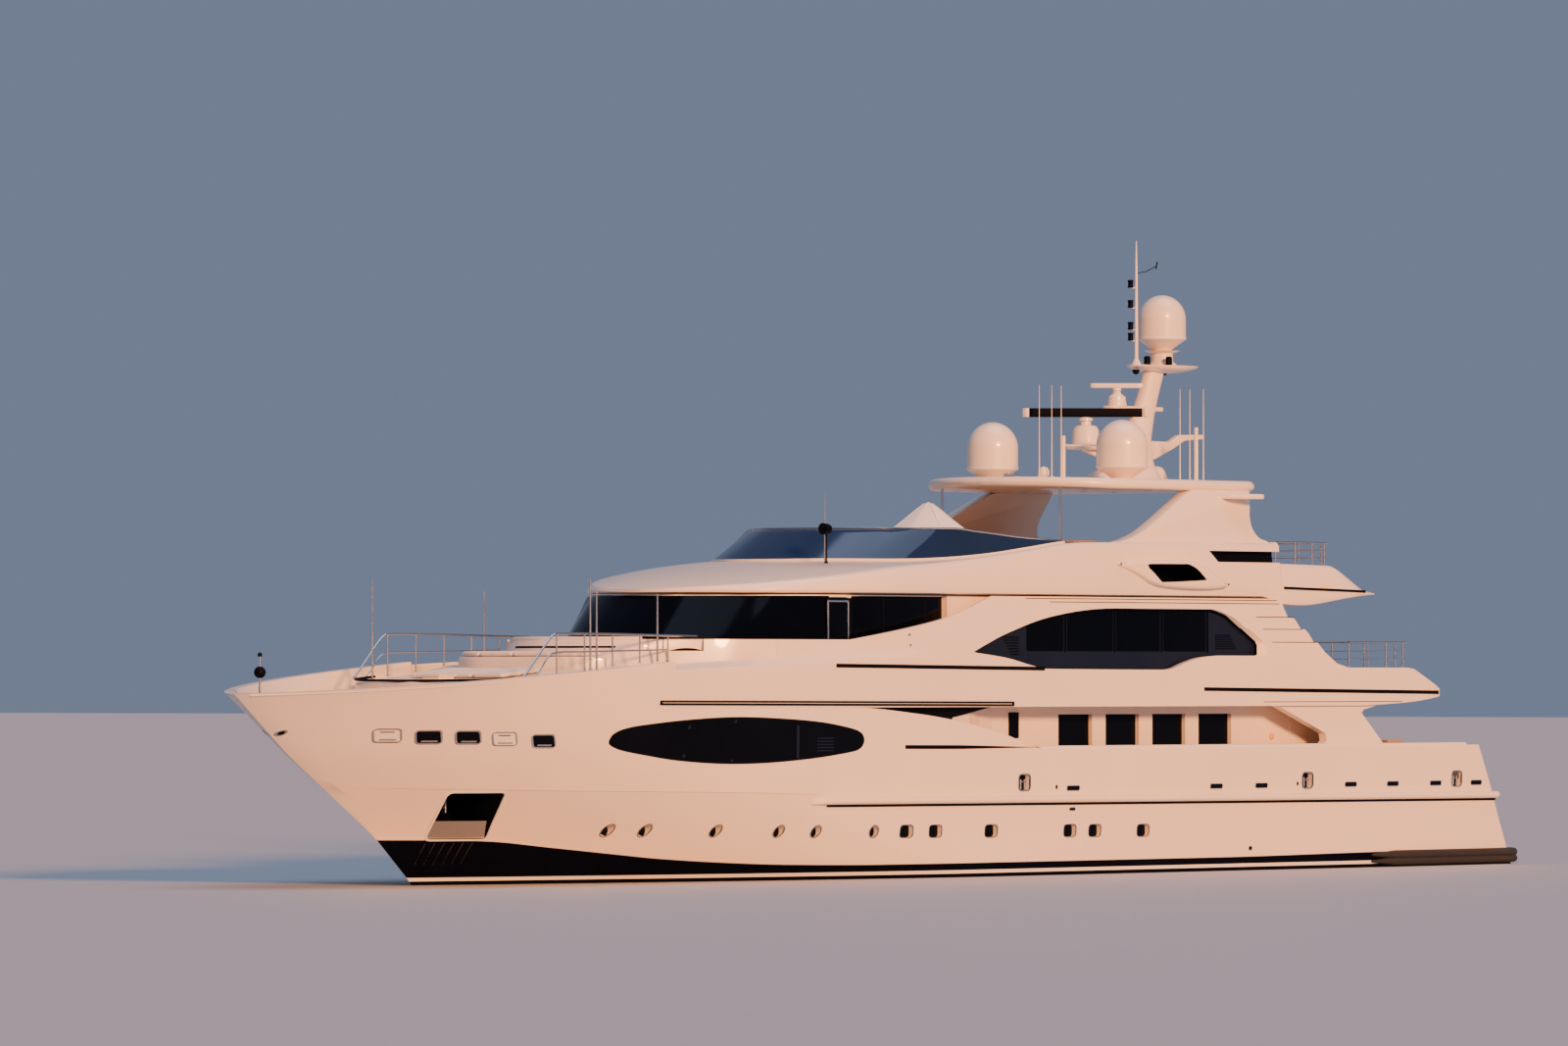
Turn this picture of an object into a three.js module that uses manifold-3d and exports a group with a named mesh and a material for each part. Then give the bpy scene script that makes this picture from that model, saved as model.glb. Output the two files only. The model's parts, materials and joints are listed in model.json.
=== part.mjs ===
// Three-deck motor yacht, a 1:2 scale model of a ship 50 m long.
// +X points to the bow, +Y to port and +Z up. The origin is on the centreline, amidships, at the waterline.
// Every length below is a metre of the real ship, and MODEL_MM turns it into millimetres of the model.
import * as THREE from 'three';
import { mergeVertices } from 'three/addons/utils/BufferGeometryUtils.js';
import Module from 'manifold-3d';

const wasm = await Module();
wasm.setup();

// Scale and running gaps
const MODEL_MM = 500;
const GAP = 0.001;
const CLEAR = 0.024;

// Hull
const STEM_FOOT_X = 17.94;
const STEM_KNEE_Z = 1.5;
const TRANSOM_FOOT_X = -24.76;
const TRANSOM_RAKE = 0.575;
const HALF_BEAM = 4.5;
const WATERLINE_HALF = 4.28;
const KNUCKLE_Z = 2.35;
const KNUCKLE_HALF = 4.45;
const MAIN_DECK_Z = 2.4;
const BULWARK_Z = 3.35;
const BULWARK_WALL = 0.18;
const STERN_BULWARK_X = -22.35;
const SHEER_BOW_Z = 4.77;
const SHEER_RISE = 0.81;
const SHEER_RUN = 13;
const FOREDECK_Z = 4.5;
const FOREDECK_AFT_X = 13.0;
const ROOF_Z = 4.45;

// Upper deck
const UPPER_FLOOR_Z = 4.95;
const UPPER_WALL_TOP_Z = 7.36;
const UPPER_TIP_X = -21.2;
const UPPER_BULWARK_Z = 5.49;
const BRIDGE_BULWARK_Z = 6.2;
const UPPER_WALL = 0.16;
const UPPER_HALF = 4.42;
const BRIDGE_BULWARK_AFT_X = 8.56;
const SIDE_DECK_BULWARK_Z = 5.62;

// Sundeck
const SUNDECK_UNDER_Z = 7.4;
const SUNDECK_FLOOR_Z = 7.82;
const SUNDECK_HALF = 4.28;
const SUNDECK_WELL_HALF = 3.75;

// Deckhouses
const HOUSE_WALL = 0.12;
const SALOON_HALF = 3.4;
const SALOON_AFT_X = -16.9;
const LOUNGE_HALF = 3.98;
const LOUNGE_AFT_X = -12.7;
const BRIDGE_HALF = 3.85;
const GLASS = 0.03;

// Radar arch and mast
const HARDTOP_Z = 10.28;
const HARDTOP_TOP_Z = 10.56;
const HARDTOP_HALF = 3.45;
const MAST_TOP_Z = 13.7;
const DOME_X = -9.0;
const DOME_Y = 2.2;
const LOWER_RADAR_X = -10.3;
const LOWER_RADAR_REACH = 1.6;
const UPPER_RADAR_X = -11.72;
const UPPER_RADAR_REACH = 0.72;

// Running gear
const SHAFT_Y = 1.75;
const PROPELLER_X = -18.6;
const PROPELLER_Z = -1.84;
const PROPELLER_R = 0.8;
const RUDDER_X = -20.6;
const FIN_X = 1.0;

const root = new THREE.Group();

const FINISHES = {
  paint: { color: 0xeadfce, roughness: 0.3, metalness: 0 },
  deck: { color: 0xb59a72, roughness: 0.7, metalness: 0 },
  glass: { color: 0x10131c, roughness: 0.08, metalness: 0 },
  screen: { color: 0x1e3560, roughness: 0.08, metalness: 0 },
  steel: { color: 0xc9c9c6, roughness: 0.25, metalness: 1 },
  bronze: { color: 0xa7793a, roughness: 0.35, metalness: 1 },
  rubber: { color: 0x17181a, roughness: 0.7, metalness: 0 },
  cover: { color: 0xefe9e2, roughness: 0.85, metalness: 0 },
  fabric: { color: 0xe9dcc8, roughness: 0.9, metalness: 0 },
  dark: { color: 0x15161a, roughness: 0.5, metalness: 0.1 },
};

// Closed bodies
function merged(geometry) {
  const bare = geometry.clone();
  bare.deleteAttribute('normal');
  bare.deleteAttribute('uv');
  return mergeVertices(bare, 1e-5);
}

function solid(geometry) {
  const body = merged(geometry);
  const triangles = [];
  const index = body.index.array;
  for (let i = 0; i < index.length; i += 3) {
    const [a, b, c] = [index[i], index[i + 1], index[i + 2]];
    if (a !== b && b !== c && a !== c) {
      triangles.push(a, b, c);
    }
  }
  return new wasm.Manifold(new wasm.Mesh({
    numProp: 3,
    vertProperties: new Float32Array(body.attributes.position.array),
    triVerts: new Uint32Array(triangles),
  }));
}

function geometryOf(manifold) {
  const { vertProperties, triVerts } = manifold.getMesh();
  const geometry = new THREE.BufferGeometry();
  geometry.setAttribute('position', new THREE.BufferAttribute(new Float32Array(vertProperties), 3));
  geometry.setIndex(new THREE.BufferAttribute(new Uint32Array(triVerts), 1));
  return geometry;
}

function join(...parts) {
  return geometryOf(parts.map(solid).reduce((a, b) => a.add(b)));
}

function cut(body, ...tools) {
  return geometryOf([body, ...tools].map(solid).reduce((a, b) => a.subtract(b)));
}

function mirrored(geometry) {
  const copy = merged(geometry);
  copy.scale(1, -1, 1);
  const index = copy.index.array;
  for (let i = 0; i < index.length; i += 3) {
    [index[i], index[i + 1]] = [index[i + 1], index[i]];
  }
  return copy;
}

function add(name, geometry, finish) {
  const body = geometry.clone();
  body.scale(MODEL_MM, MODEL_MM, MODEL_MM);
  const mesh = new THREE.Mesh(body, new THREE.MeshStandardMaterial(FINISHES[finish]));
  mesh.name = name;
  root.add(mesh);
}

function addPair(name, port, finish) {
  add(`${name}_port`, port, finish);
  add(`${name}_starboard`, mirrored(port), finish);
}

function box(x, y, z) {
  const geometry = new THREE.BoxGeometry(x[1] - x[0], y[1] - y[0], z[1] - z[0]);
  return geometry.translate((x[0] + x[1]) / 2, (y[0] + y[1]) / 2, (z[0] + z[1]) / 2);
}

function shapeOf(points) {
  return new THREE.Shape(points.map(([u, v]) => new THREE.Vector2(u, v)));
}

// A side-view outline, [x, z] points, made thick from y0 to y1
function sidePlate(points, y0, y1) {
  const geometry = new THREE.ExtrudeGeometry(shapeOf(points), { depth: y1 - y0, bevelEnabled: false });
  return geometry.rotateX(Math.PI / 2).translate(0, y1, 0);
}

// A plan outline, [x, y] points, made thick from z0 to z1
function planPlate(points, z0, z1) {
  const geometry = new THREE.ExtrudeGeometry(shapeOf(points), { depth: z1 - z0, bevelEnabled: false });
  return geometry.translate(0, 0, z0);
}

// One side's outline moved inward, square to its own edge
function insetOutline(points, by) {
  return points.map(([x, y], i) => {
    const [ax, ay] = points[Math.max(0, i - 1)];
    const [bx, by_] = points[Math.min(points.length - 1, i + 1)];
    const long = Math.hypot(bx - ax, by_ - ay);
    const [nx, ny] = [-(by_ - ay) / long, (bx - ax) / long];
    return y === 0 ? [x - by * Math.sign(x - points[i === 0 ? points.length - 1 : 0][0]), 0]
      : [x + nx * by, y + ny * by];
  });
}

// The same, with both open ends drawn in as well
function roomOutline(points, by) {
  const last = points.length - 1;
  return insetOutline(points, by).map(([x, y], i) => {
    const ends = (i === last && points[last][1] > 0 ? by : 0) - (i === 0 && points[0][1] > 0 ? by : 0);
    return [x + ends, y];
  });
}

// The outline of one side, run from bow to stern, closed with its mirror image
function bothSides(points) {
  const other = points.filter(([, y]) => y > 0).map(([x, y]) => [x, -y]).reverse();
  return [...points, ...other];
}

// Stations are lists of [x, y, z] from the centreline out and up one side, with as many points each.
// The body is closed across the top, at both ends and at its mirror image.
function symmetricLoft(stations) {
  const rows = stations.length;
  const points = stations[0].length;
  const positions = [];
  const index = [];
  for (const side of [1, -1]) {
    for (const station of stations) {
      for (const [x, y, z] of station) {
        positions.push(x, side * y, z);
      }
    }
  }
  const at = (side, row, point) => side * rows * points + row * points + point;
  const quad = (a, b, c, d) => index.push(a, b, c, a, c, d);
  for (let row = 0; row + 1 < rows; row += 1) {
    for (let point = 0; point + 1 < points; point += 1) {
      quad(at(0, row, point), at(0, row, point + 1), at(0, row + 1, point + 1), at(0, row + 1, point));
      quad(at(1, row, point), at(1, row + 1, point), at(1, row + 1, point + 1), at(1, row, point + 1));
    }
    const top = points - 1;
    quad(at(0, row, top), at(1, row, top), at(1, row + 1, top), at(0, row + 1, top));
    quad(at(0, row, 0), at(0, row + 1, 0), at(1, row + 1, 0), at(1, row, 0));
  }
  for (let point = 0; point + 1 < points; point += 1) {
    quad(at(0, 0, point), at(1, 0, point), at(1, 0, point + 1), at(0, 0, point + 1));
    const end = rows - 1;
    quad(at(0, end, point), at(0, end, point + 1), at(1, end, point + 1), at(1, end, point));
  }
  const geometry = new THREE.BufferGeometry();
  geometry.setAttribute('position', new THREE.Float32BufferAttribute(positions, 3));
  geometry.setIndex(index);
  return outward(geometry);
}

// Rings are closed loops of [x, y, z] with as many points each, joined in order and capped
function ringLoft(rings) {
  const count = rings[0].length;
  const positions = rings.flat(2);
  const index = [];
  for (let row = 0; row + 1 < rings.length; row += 1) {
    for (let point = 0; point < count; point += 1) {
      const next = (point + 1) % count;
      const [a, b] = [row * count + point, row * count + next];
      index.push(a, b, b + count, a, b + count, a + count);
    }
  }
  const last = (rings.length - 1) * count;
  for (let point = 1; point + 1 < count; point += 1) {
    index.push(0, point + 1, point, last, last + point, last + point + 1);
  }
  const geometry = new THREE.BufferGeometry();
  geometry.setAttribute('position', new THREE.Float32BufferAttribute(positions, 3));
  geometry.setIndex(index);
  return outward(geometry);
}

function volume(geometry) {
  const position = geometry.attributes.position;
  const index = geometry.index.array;
  const [a, b, c] = [new THREE.Vector3(), new THREE.Vector3(), new THREE.Vector3()];
  let total = 0;
  for (let i = 0; i < index.length; i += 3) {
    a.fromBufferAttribute(position, index[i]);
    b.fromBufferAttribute(position, index[i + 1]);
    c.fromBufferAttribute(position, index[i + 2]);
    total += a.dot(b.cross(c)) / 6;
  }
  return total;
}

function outward(geometry) {
  if (volume(geometry) < 0) {
    const index = geometry.index.array;
    for (let i = 0; i < index.length; i += 3) {
      [index[i], index[i + 1]] = [index[i + 1], index[i]];
    }
  }
  return geometry;
}

// A straight round bar between two points
function bar(start, end, radius, sides = 8) {
  const [a, b] = [new THREE.Vector3(...start), new THREE.Vector3(...end)];
  const along = b.clone().sub(a);
  const geometry = new THREE.CylinderGeometry(radius, radius, along.length(), sides);
  geometry.translate(0, along.length() / 2, 0);
  geometry.applyQuaternion(new THREE.Quaternion().setFromUnitVectors(
    new THREE.Vector3(0, 1, 0), along.normalize()));
  return geometry.translate(a.x, a.y, a.z);
}

// A turned body: profile points are [radius, height] above (x, y, z)
function turned(profile, [x, y, z], sides = 24) {
  const points = profile.map(([r, h]) => new THREE.Vector2(r, h));
  return new THREE.LatheGeometry(points, sides).rotateX(Math.PI / 2).translate(x, y, z);
}

// Straight lines through [x, value] pairs, given from stern to bow
function lineThrough(pairs, x) {
  if (x <= pairs[0][0]) {
    return pairs[0][1];
  }
  for (let i = 0; i + 1 < pairs.length; i += 1) {
    const [[x0, v0], [x1, v1]] = [pairs[i], pairs[i + 1]];
    if (x <= x1) {
      return v0 + (v1 - v0) * (x - x0) / (x1 - x0);
    }
  }
  return pairs[pairs.length - 1][1];
}

// Hull form
function stemX(z) {
  if (z > STEM_KNEE_Z) {
    return STEM_FOOT_X + 0.92 * STEM_KNEE_Z + 0.2 * STEM_KNEE_Z ** 2 + 1.6 * (z - STEM_KNEE_Z);
  }
  if (z > 0) {
    return STEM_FOOT_X + 0.92 * z + 0.2 * z * z;
  }
  return STEM_FOOT_X + 0.92 * z - 0.62 * z * z;
}

function transomX(z) {
  return TRANSOM_FOOT_X + TRANSOM_RAKE * z;
}

// Each level's half-breadth rises from the stem over a run, by (1 - (1 - t)^fullness)^(1 / bluntness)
const LEVELS = [
  // height, half-breadth, run, fullness, bluntness
  { z: 0, half: WATERLINE_HALF, run: 18, fullness: 1.5, bluntness: 1 },
  { z: KNUCKLE_Z, half: KNUCKLE_HALF, run: 15, fullness: 2, bluntness: 1.15 },
  { z: 5.0, half: HALF_BEAM, run: 13, fullness: 2.3, bluntness: 1.3 },
];

function halfBreadth(x, z) {
  const high = z > KNUCKLE_Z ? 2 : 1;
  const [a, b] = [LEVELS[high - 1], LEVELS[high]];
  const share = Math.min(1.3, Math.max(0, (z - a.z) / (b.z - a.z)));
  const mix = (key) => a[key] + (b[key] - a[key]) * share;
  const t = Math.min(1, Math.max(0, (stemX(z) - x) / mix('run')));
  const stern = Math.min(1, Math.max(0, (-14 - x) / 10));
  const half = mix('half') - 0.22 * stern * stern;
  return half * (1 - (1 - t) ** mix('fullness')) ** (1 / mix('bluntness'));
}

function keelZ(x) {
  return -lineThrough([[-24.8, 0.3], [-20, 0.75], [-15, 1.5], [-9, 2.2], [-3, 2.6], [4, 2.65],
    [11, 2.55], [14, 2.25], [16, 1.5], [STEM_FOOT_X, 0.001]], x);
}

function sheerZ(x) {
  return SHEER_BOW_Z + SHEER_RISE * Math.max(0, (stemX(SHEER_BOW_Z) - x) / SHEER_RUN) ** 1.15;
}

// Top edge of the hull's side: stern bulwark, its sweep up to the roof, then the foredeck's bulwark
const HULL_TOP = [[-25, BULWARK_Z], [-2.4, BULWARK_Z], [-0.93, 3.7], [0.97, 4.05], [2.97, 4.28],
  [5.66, ROOF_Z], [FOREDECK_AFT_X - 0.001, ROOF_Z]];

function hullTopZ(x) {
  return x >= FOREDECK_AFT_X ? sheerZ(x) : lineThrough(HULL_TOP, x);
}

// One side of a section, from the keel up: shares of the draught, of the knuckle's height and of the topside
const DEPTHS = [1, 0.93, 0.8, 0.55, 0.25, 0];
const KNUCKLE_STEPS = [0.5, 1];
const TOPSIDE_STEPS = [0.33, 0.66, 1];

// A station slides aft or forward with height, so that the first lies on the transom and the last on the stem
function rakedStation(share, topZ) {
  const along = (z) => transomX(z) + share * (stemX(z) - transomX(z));
  const below = DEPTHS.map((depth) => {
    const z = keelZ(along(0)) * depth;
    const x = along(z);
    const bulge = 1.35 + 1.6 * Math.max(0, 1 - Math.abs(along(0) + 1) / 19);
    return [x, halfBreadth(x, 0) * (1 - depth ** bulge) ** 0.62, z];
  });
  const heights = [...KNUCKLE_STEPS.map((step) => KNUCKLE_Z * step),
    ...TOPSIDE_STEPS.map((step) => KNUCKLE_Z + (topZ - KNUCKLE_Z) * step)];
  return [...below, ...heights.map((z) => [along(z), halfBreadth(along(z), z), z])];
}

const HULL_SHARES = [0, 0.06, 0.13, 0.2, 0.3, 0.4, 0.5, 0.56, 0.6, 0.65, 0.7, 0.75, 0.8, 0.84, 0.88, 0.91,
  0.94, 0.965, 0.985, 1];

function hullStations() {
  return HULL_SHARES.map((share) => {
    const x = transomX(4) + share * (stemX(4.9) - transomX(4));
    return rakedStation(share, sheerZ(Math.max(x, 10)));
  });
}

// Everything above the side's top edge is taken off, with tools that reach across the ship
function sweepTool() {
  const top = 9;
  const edge = HULL_TOP.filter(([x]) => x > -25);
  const outline = [[-26, top], [-26, BULWARK_Z], ...edge, [FOREDECK_AFT_X, top]];
  return sidePlate(outline, -6, 6);
}

// A space open to the sky whose walls keep one thickness as the bow flares out above its floor
function flaredSpace(tipX, xs, heights, wall) {
  return ringLoft(heights.map((z) => {
    const level = Math.min(z, BOW_TOP_Z);
    const side = xs.map((x) => [x, Math.max(0.03, halfBreadth(x, level) - wall)]);
    return bothSides([[tipX, 0], ...side]).map(([x, y]) => [x, y, z]);
  }));
}

const BOW_TOP_Z = 5.6;
// The sunk deck at the windlasses
const WINDLASS_DECK = { z: 4.05, tipX: 22.7, xs: [22.6, 22, 21.3, 20.4, 19.4, 18.4], wall: 0.45 };

function foredeckTool() {
  const xs = [24.1, 23.6, 22.6, 21.4, 20, 18.4, 16.5, FOREDECK_AFT_X - 0.2];
  return flaredSpace(24.2, xs, [FOREDECK_Z, 5.0, BOW_TOP_Z, 9], 0.3);
}

function windlassDeckTool() {
  const { z, tipX, xs, wall } = WINDLASS_DECK;
  return flaredSpace(tipX, xs, [z, FOREDECK_Z + 0.05], wall);
}

// Anchor pocket in the flare of the bow: [x, z] corners, top edge first, cut in to a wall near the centre
const POCKET = { corners: [[18.45, 2.33], [17.0, 2.33], [16.57, 1.15], [18.12, 1.15]], wallY: 0.3 };

function anchorPocket() {
  return sidePlate(POCKET.corners, POCKET.wallY, 6);
}

const GARAGE = { half: 2.4, low: 0.85, high: 2.15, thick: 0.12 };

// A slab that follows the transom, from one height to another, with an inner and an outer offset
function transomSlab(half, low, high, inner, outer) {
  const outline = [[transomX(low) + inner, low], [transomX(high) + inner, high],
    [transomX(high) - outer, high], [transomX(low) - outer, low]];
  return sidePlate(outline, -half, half);
}

const STERN_STEPS = 6;

function sternStair() {
  const tools = [];
  const rise = (MAIN_DECK_Z - 0.5) / STERN_STEPS;
  for (let step = 0; step < STERN_STEPS; step += 1) {
    const z = 0.5 + rise * step;
    tools.push(box([-26, STERN_BULWARK_X - 2.0 + 0.32 * step], [2.85, 3.85], [z, 6]));
  }
  return tools;
}

const WELL = { aft: STERN_BULWARK_X, fwd: 5.5 };

function hull() {
  const well = box([WELL.aft, WELL.fwd], [-HALF_BEAM + BULWARK_WALL + 0.08, HALF_BEAM - BULWARK_WALL - 0.08],
    [MAIN_DECK_Z, 9]);
  const recess = transomSlab(GARAGE.half + CLEAR, GARAGE.low - CLEAR, GARAGE.high + CLEAR,
    GARAGE.thick + CLEAR, 2);
  const stairs = sternStair();
  const tunnel = bar([15.0, -5, -1.35], [15.0, 5, -1.35], 0.34, 16);
  return cut(symmetricLoft(hullStations()), sweepTool(), foredeckTool(), windlassDeckTool(), well,
    anchorPocket(), mirrored(anchorPocket()),
    recess, ...stairs, ...stairs.map(mirrored), tunnel);
}

add('hull', hull(), 'paint');

// What lies against the side is cut back to it, with the running gap
const SIDE_GAP = 2 * GAP;

function offTheHull(piece) {
  const grown = hullStations().map((station) => station.map(([x, y, z]) => [x, y > 0 ? y + SIDE_GAP : 0, z]));
  return cut(piece, symmetricLoft(grown));
}

// A strip along the side: from its first place to its last, between two heights
function sideStrip(xs, [low, high], deep, startDeep) {
  return offTheHull(ringLoft(xs.map((x, i) => {
    const y = Math.min(halfBreadth(x, low), halfBreadth(x, high));
    const out = y + (i === 0 ? startDeep : deep);
    return [[x, y - 0.3, low], [x, out - 0.04, low], [x, out, low + 0.05], [x, out, high - 0.05],
      [x, out - 0.04, high], [x, y - 0.3, high]];
  })));
}

// Rubbing strake along each side, from the shoulder to the stern
const STRAKE = {
  z: [1.9, 2.12], xs: [7.2, 6.4, 5, 2, -2, -8, -14, -18, -20.5, -23.5], deep: 0.2, start: 0.06,
};
addPair('rub_strake', sideStrip(STRAKE.xs, STRAKE.z, STRAKE.deep, STRAKE.start), 'paint');

// Swim platform and the rubber fender that runs round it and along the quarters
const PLATFORM = { aft: -25.16, z: [0.2, 0.42] };

function platformEdge(inset) {
  const aft = PLATFORM.aft + inset;
  return [[-24.3, 4.14 - inset], [aft + 0.5, 4.1 - inset], [aft + 0.12, 3.9 - inset], [aft, 3.4 - inset]];
}

function platform() {
  const slab = planPlate(bothSides(platformEdge(0.17)), PLATFORM.z[0], PLATFORM.z[1]);
  return cut(slab, transomSlab(6, -1, 3, 8, GAP));
}

add('swim_platform', platform(), 'deck');

const FENDER = { z: [0.12, 0.4], deep: 0.17, xs: [-17.6, -19, -21, -23, -24.3, -24.5], start: 0.04 };

function platformFender() {
  const aft = PLATFORM.aft;
  const edge = bothSides([[-24.2, 4.28], [-24.75, 4.25], [-25.05, 4.06], [aft, 3.5]]);
  const outer = planPlate(edge, ...FENDER.z);
  const hole = planPlate(bothSides(platformEdge(FENDER.deep - 2 * GAP)), 0, 0.6);
  const front = box([-24.7, -20], [-3.9, 3.9], [0, 0.6]);
  const stern = offTheHull(cut(outer, hole, front, transomSlab(4.0, -1, 3, 8, SIDE_GAP)));
  const quarter = sideStrip(FENDER.xs, FENDER.z, FENDER.deep, FENDER.start);
  return join(stern, quarter, mirrored(quarter));
}

add('platform_fender', platformFender(), 'rubber');

// Garage door in the transom, hinged along its top edge
add('transom_door', transomSlab(GARAGE.half, GARAGE.low, GARAGE.high, GARAGE.thick, 0), 'paint');

// Main deck house: full width forward, narrower beside the side decks
const HOUSE_SIDE = [[5.4, 4.1], [0.9, 4.1], [0.1, 3.98], [-0.8, 3.62], [-1.6, 3.44], [-2.3, SALOON_HALF],
  [SALOON_AFT_X, SALOON_HALF]];
const SALOON_WINDOWS = { first: -4.55, wide: 1.5, pitch: 2.1, count: 4, low: 2.98, high: 4.24 };

function sideWindows({ first, wide, pitch, count, low, high }, half) {
  return Array.from({ length: count }, (_, i) => {
    const fore = first - pitch * i;
    return box([fore - wide, fore], [half - 0.5, half + 0.5], [low, high]);
  });
}

function mainDeckHouse() {
  const outer = planPlate(bothSides(HOUSE_SIDE), MAIN_DECK_Z + GAP, ROOF_Z - 2 * GAP);
  const room = planPlate(bothSides(roomOutline(HOUSE_SIDE, HOUSE_WALL)), MAIN_DECK_Z + 0.1, ROOF_Z - 0.1);
  const doorway = box([SALOON_AFT_X - 1, SALOON_AFT_X + 1], [-1.2, 1.2], [MAIN_DECK_Z + 0.12, 4.2]);
  const windows = sideWindows(SALOON_WINDOWS, SALOON_HALF);
  return cut(outer, room, doorway, ...windows, ...windows.map(mirrored));
}

add('main_deck_house', mainDeckHouse(), 'paint');

function windowPlate({ first, wide, pitch, count, low, high }, y) {
  const aft = first - pitch * (count - 1) - wide;
  return box([aft - 0.1, first + 0.1], [y - GLASS, y], [low - 0.1, high + 0.08]);
}

addPair('saloon_glass', windowPlate(SALOON_WINDOWS, SALOON_HALF - HOUSE_WALL - GAP), 'glass');

// Sliding glass doors, two leaves that part at the centreline
function doorLeaf(x, low, high) {
  const leaf = box([x - 0.05, x], [0.012, 1.28], [low, high]);
  const handle = box([x - 0.09, x - 0.045], [0.06, 0.1], [low + 0.8, low + 1.2]);
  return join(leaf, handle);
}

addPair('saloon_door', doorLeaf(SALOON_AFT_X - CLEAR, MAIN_DECK_Z + 0.03, 4.26), 'glass');

// Aft fashion plates between the side bulwark and the upper deck's overhang
const FASHION_PLATE = [[-13.3, ROOF_Z - 0.002], [-15.5, 3.7], [-15.56, 3.5], [-15.35, BULWARK_Z + 0.002],
  [-18.3, BULWARK_Z + 0.002], [-17.2, 4.25], [-17.3, 4.34], [-17.9, ROOF_Z - 0.002]];
addPair('fashion_plate', sidePlate(FASHION_PLATE, 4.06, 4.3), 'paint');

// Upper deck: floor, overhang, side walls with the arched window, and the side decks by the bridge
const UPPER_SIDE = [[FOREDECK_AFT_X - 0.02, 4.38], [10, UPPER_HALF], [-17, UPPER_HALF], [-19.8, 4.38],
  [-20.9, 4.32], [-21.15, 4.22], [UPPER_TIP_X, 0]];
const UPPER_TOP = [[UPPER_TIP_X - 0.1, 4.84], [-21.13, 4.84], [-19.4, UPPER_BULWARK_Z],
  [-16.44, UPPER_BULWARK_Z], [-15.84, 5.63], [-15.38, 5.92], [-15.15, 6.19], [-14.6, 6.59], [-14.1, 6.91],
  [-13.68, 7.06], [-13.4, UPPER_WALL_TOP_Z], [-0.2, UPPER_WALL_TOP_Z], [0.12, 7.2], [0.75, 6.99],
  [1.72, 6.76], [2.64, 6.63], [4.25, 6.39], [5.53, BRIDGE_BULWARK_Z],
  [BRIDGE_BULWARK_AFT_X, BRIDGE_BULWARK_Z],
  [BRIDGE_BULWARK_AFT_X + 0.01, SIDE_DECK_BULWARK_Z], [15, SIDE_DECK_BULWARK_Z]];
const UPPER_UNDER = [[-21.5, 4.8], [-20.2, 4.58], [-17.2, ROOF_Z + GAP]];
const ARCH_WINDOW = [[0.52, 5.89], [-1.09, 6.41], [-2.79, 6.8], [-4.96, 7.05], [-10.38, 7.05], [-12.18, 6.18],
  [-12.2, 5.83], [-10.3, 5.81], [-9.1, 5.66], [-8.02, 5.43], [-2.6, 5.45], [-0.9, 5.74]];

function upperDeck() {
  const block = planPlate(bothSides(UPPER_SIDE), ROOF_Z + GAP, UPPER_WALL_TOP_Z);
  const over = sidePlate([[-23, 9], ...UPPER_TOP, [15, 9]], -6, 6);
  const under = sidePlate([[-23, 4], [-23, 4.8], ...UPPER_UNDER, [-17.2, 4]], -6, 6);
  const inside = insetOutline(UPPER_SIDE, UPPER_WALL).map(([x, y]) => [x < -20 ? x + 0.3 : x, y]);
  inside[0] = [14, inside[0][1]];
  const well = planPlate(bothSides(inside), UPPER_FLOOR_Z, 9);
  const window = sidePlate(ARCH_WINDOW, 3, 6);
  return cut(block, over, under, well, window, mirrored(window));
}

add('upper_deck', upperDeck(), 'paint');

// Bulwark round the front of the bridge, raked, with a low notch on each side
const BRIDGE_BULWARK = [[12.1, 0], [12.0, 0.9], [11.6, 1.9], [10.8, 2.8], [10.0, 3.5], [9.4, 3.92],
  [BRIDGE_BULWARK_AFT_X + 0.01, 4.25]];

function bulwarkRing(z, by) {
  const spread = 0.65 * (BRIDGE_BULWARK_Z - z);
  const side = insetOutline(BRIDGE_BULWARK, by).map(([x, y]) => [
    x + spread * Math.min(1, Math.max(0, (x - 9) / 2.5)), y]);
  return bothSides(side).map(([x, y]) => [x, y, z]);
}

function bridgeBulwark() {
  const low = UPPER_FLOOR_Z + GAP;
  const outer = ringLoft([bulwarkRing(low, 0), bulwarkRing(BRIDGE_BULWARK_Z, 0)]);
  const inner = ringLoft([bulwarkRing(low - 1, UPPER_WALL), bulwarkRing(BRIDGE_BULWARK_Z + 1, UPPER_WALL)]);
  const aft = box([8, BRIDGE_BULWARK_AFT_X + 0.02], [-6, 6], [4, 9]);
  const notch = planPlate([[11.35, 2.35], [13, 3.4], [12, 4.6], [10.35, 3.35]], 6.03, 7);
  return cut(outer, inner, aft, notch, mirrored(notch));
}

add('bridge_bulwark', bridgeBulwark(), 'paint');

// Sky lounge behind the arched windows
const LOUNGE_WINDOWS = { first: -0.9, wide: 1.75, pitch: 1.95, count: 6, low: 5.35, high: 7.1 };

function skyLounge() {
  const outer = box([LOUNGE_AFT_X, 1.05], [-LOUNGE_HALF, LOUNGE_HALF],
    [UPPER_FLOOR_Z + GAP, UPPER_WALL_TOP_Z]);
  const room = box([LOUNGE_AFT_X + HOUSE_WALL, 1.05 - HOUSE_WALL],
    [-LOUNGE_HALF + HOUSE_WALL, LOUNGE_HALF - HOUSE_WALL], [UPPER_FLOOR_Z + 0.1, UPPER_WALL_TOP_Z - 0.1]);
  const doorway = box([LOUNGE_AFT_X - 1, LOUNGE_AFT_X + 1], [-1.2, 1.2], [UPPER_FLOOR_Z + 0.12, 7.0]);
  const windows = sideWindows(LOUNGE_WINDOWS, LOUNGE_HALF);
  return cut(outer, room, doorway, ...windows, ...windows.map(mirrored));
}

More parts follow.
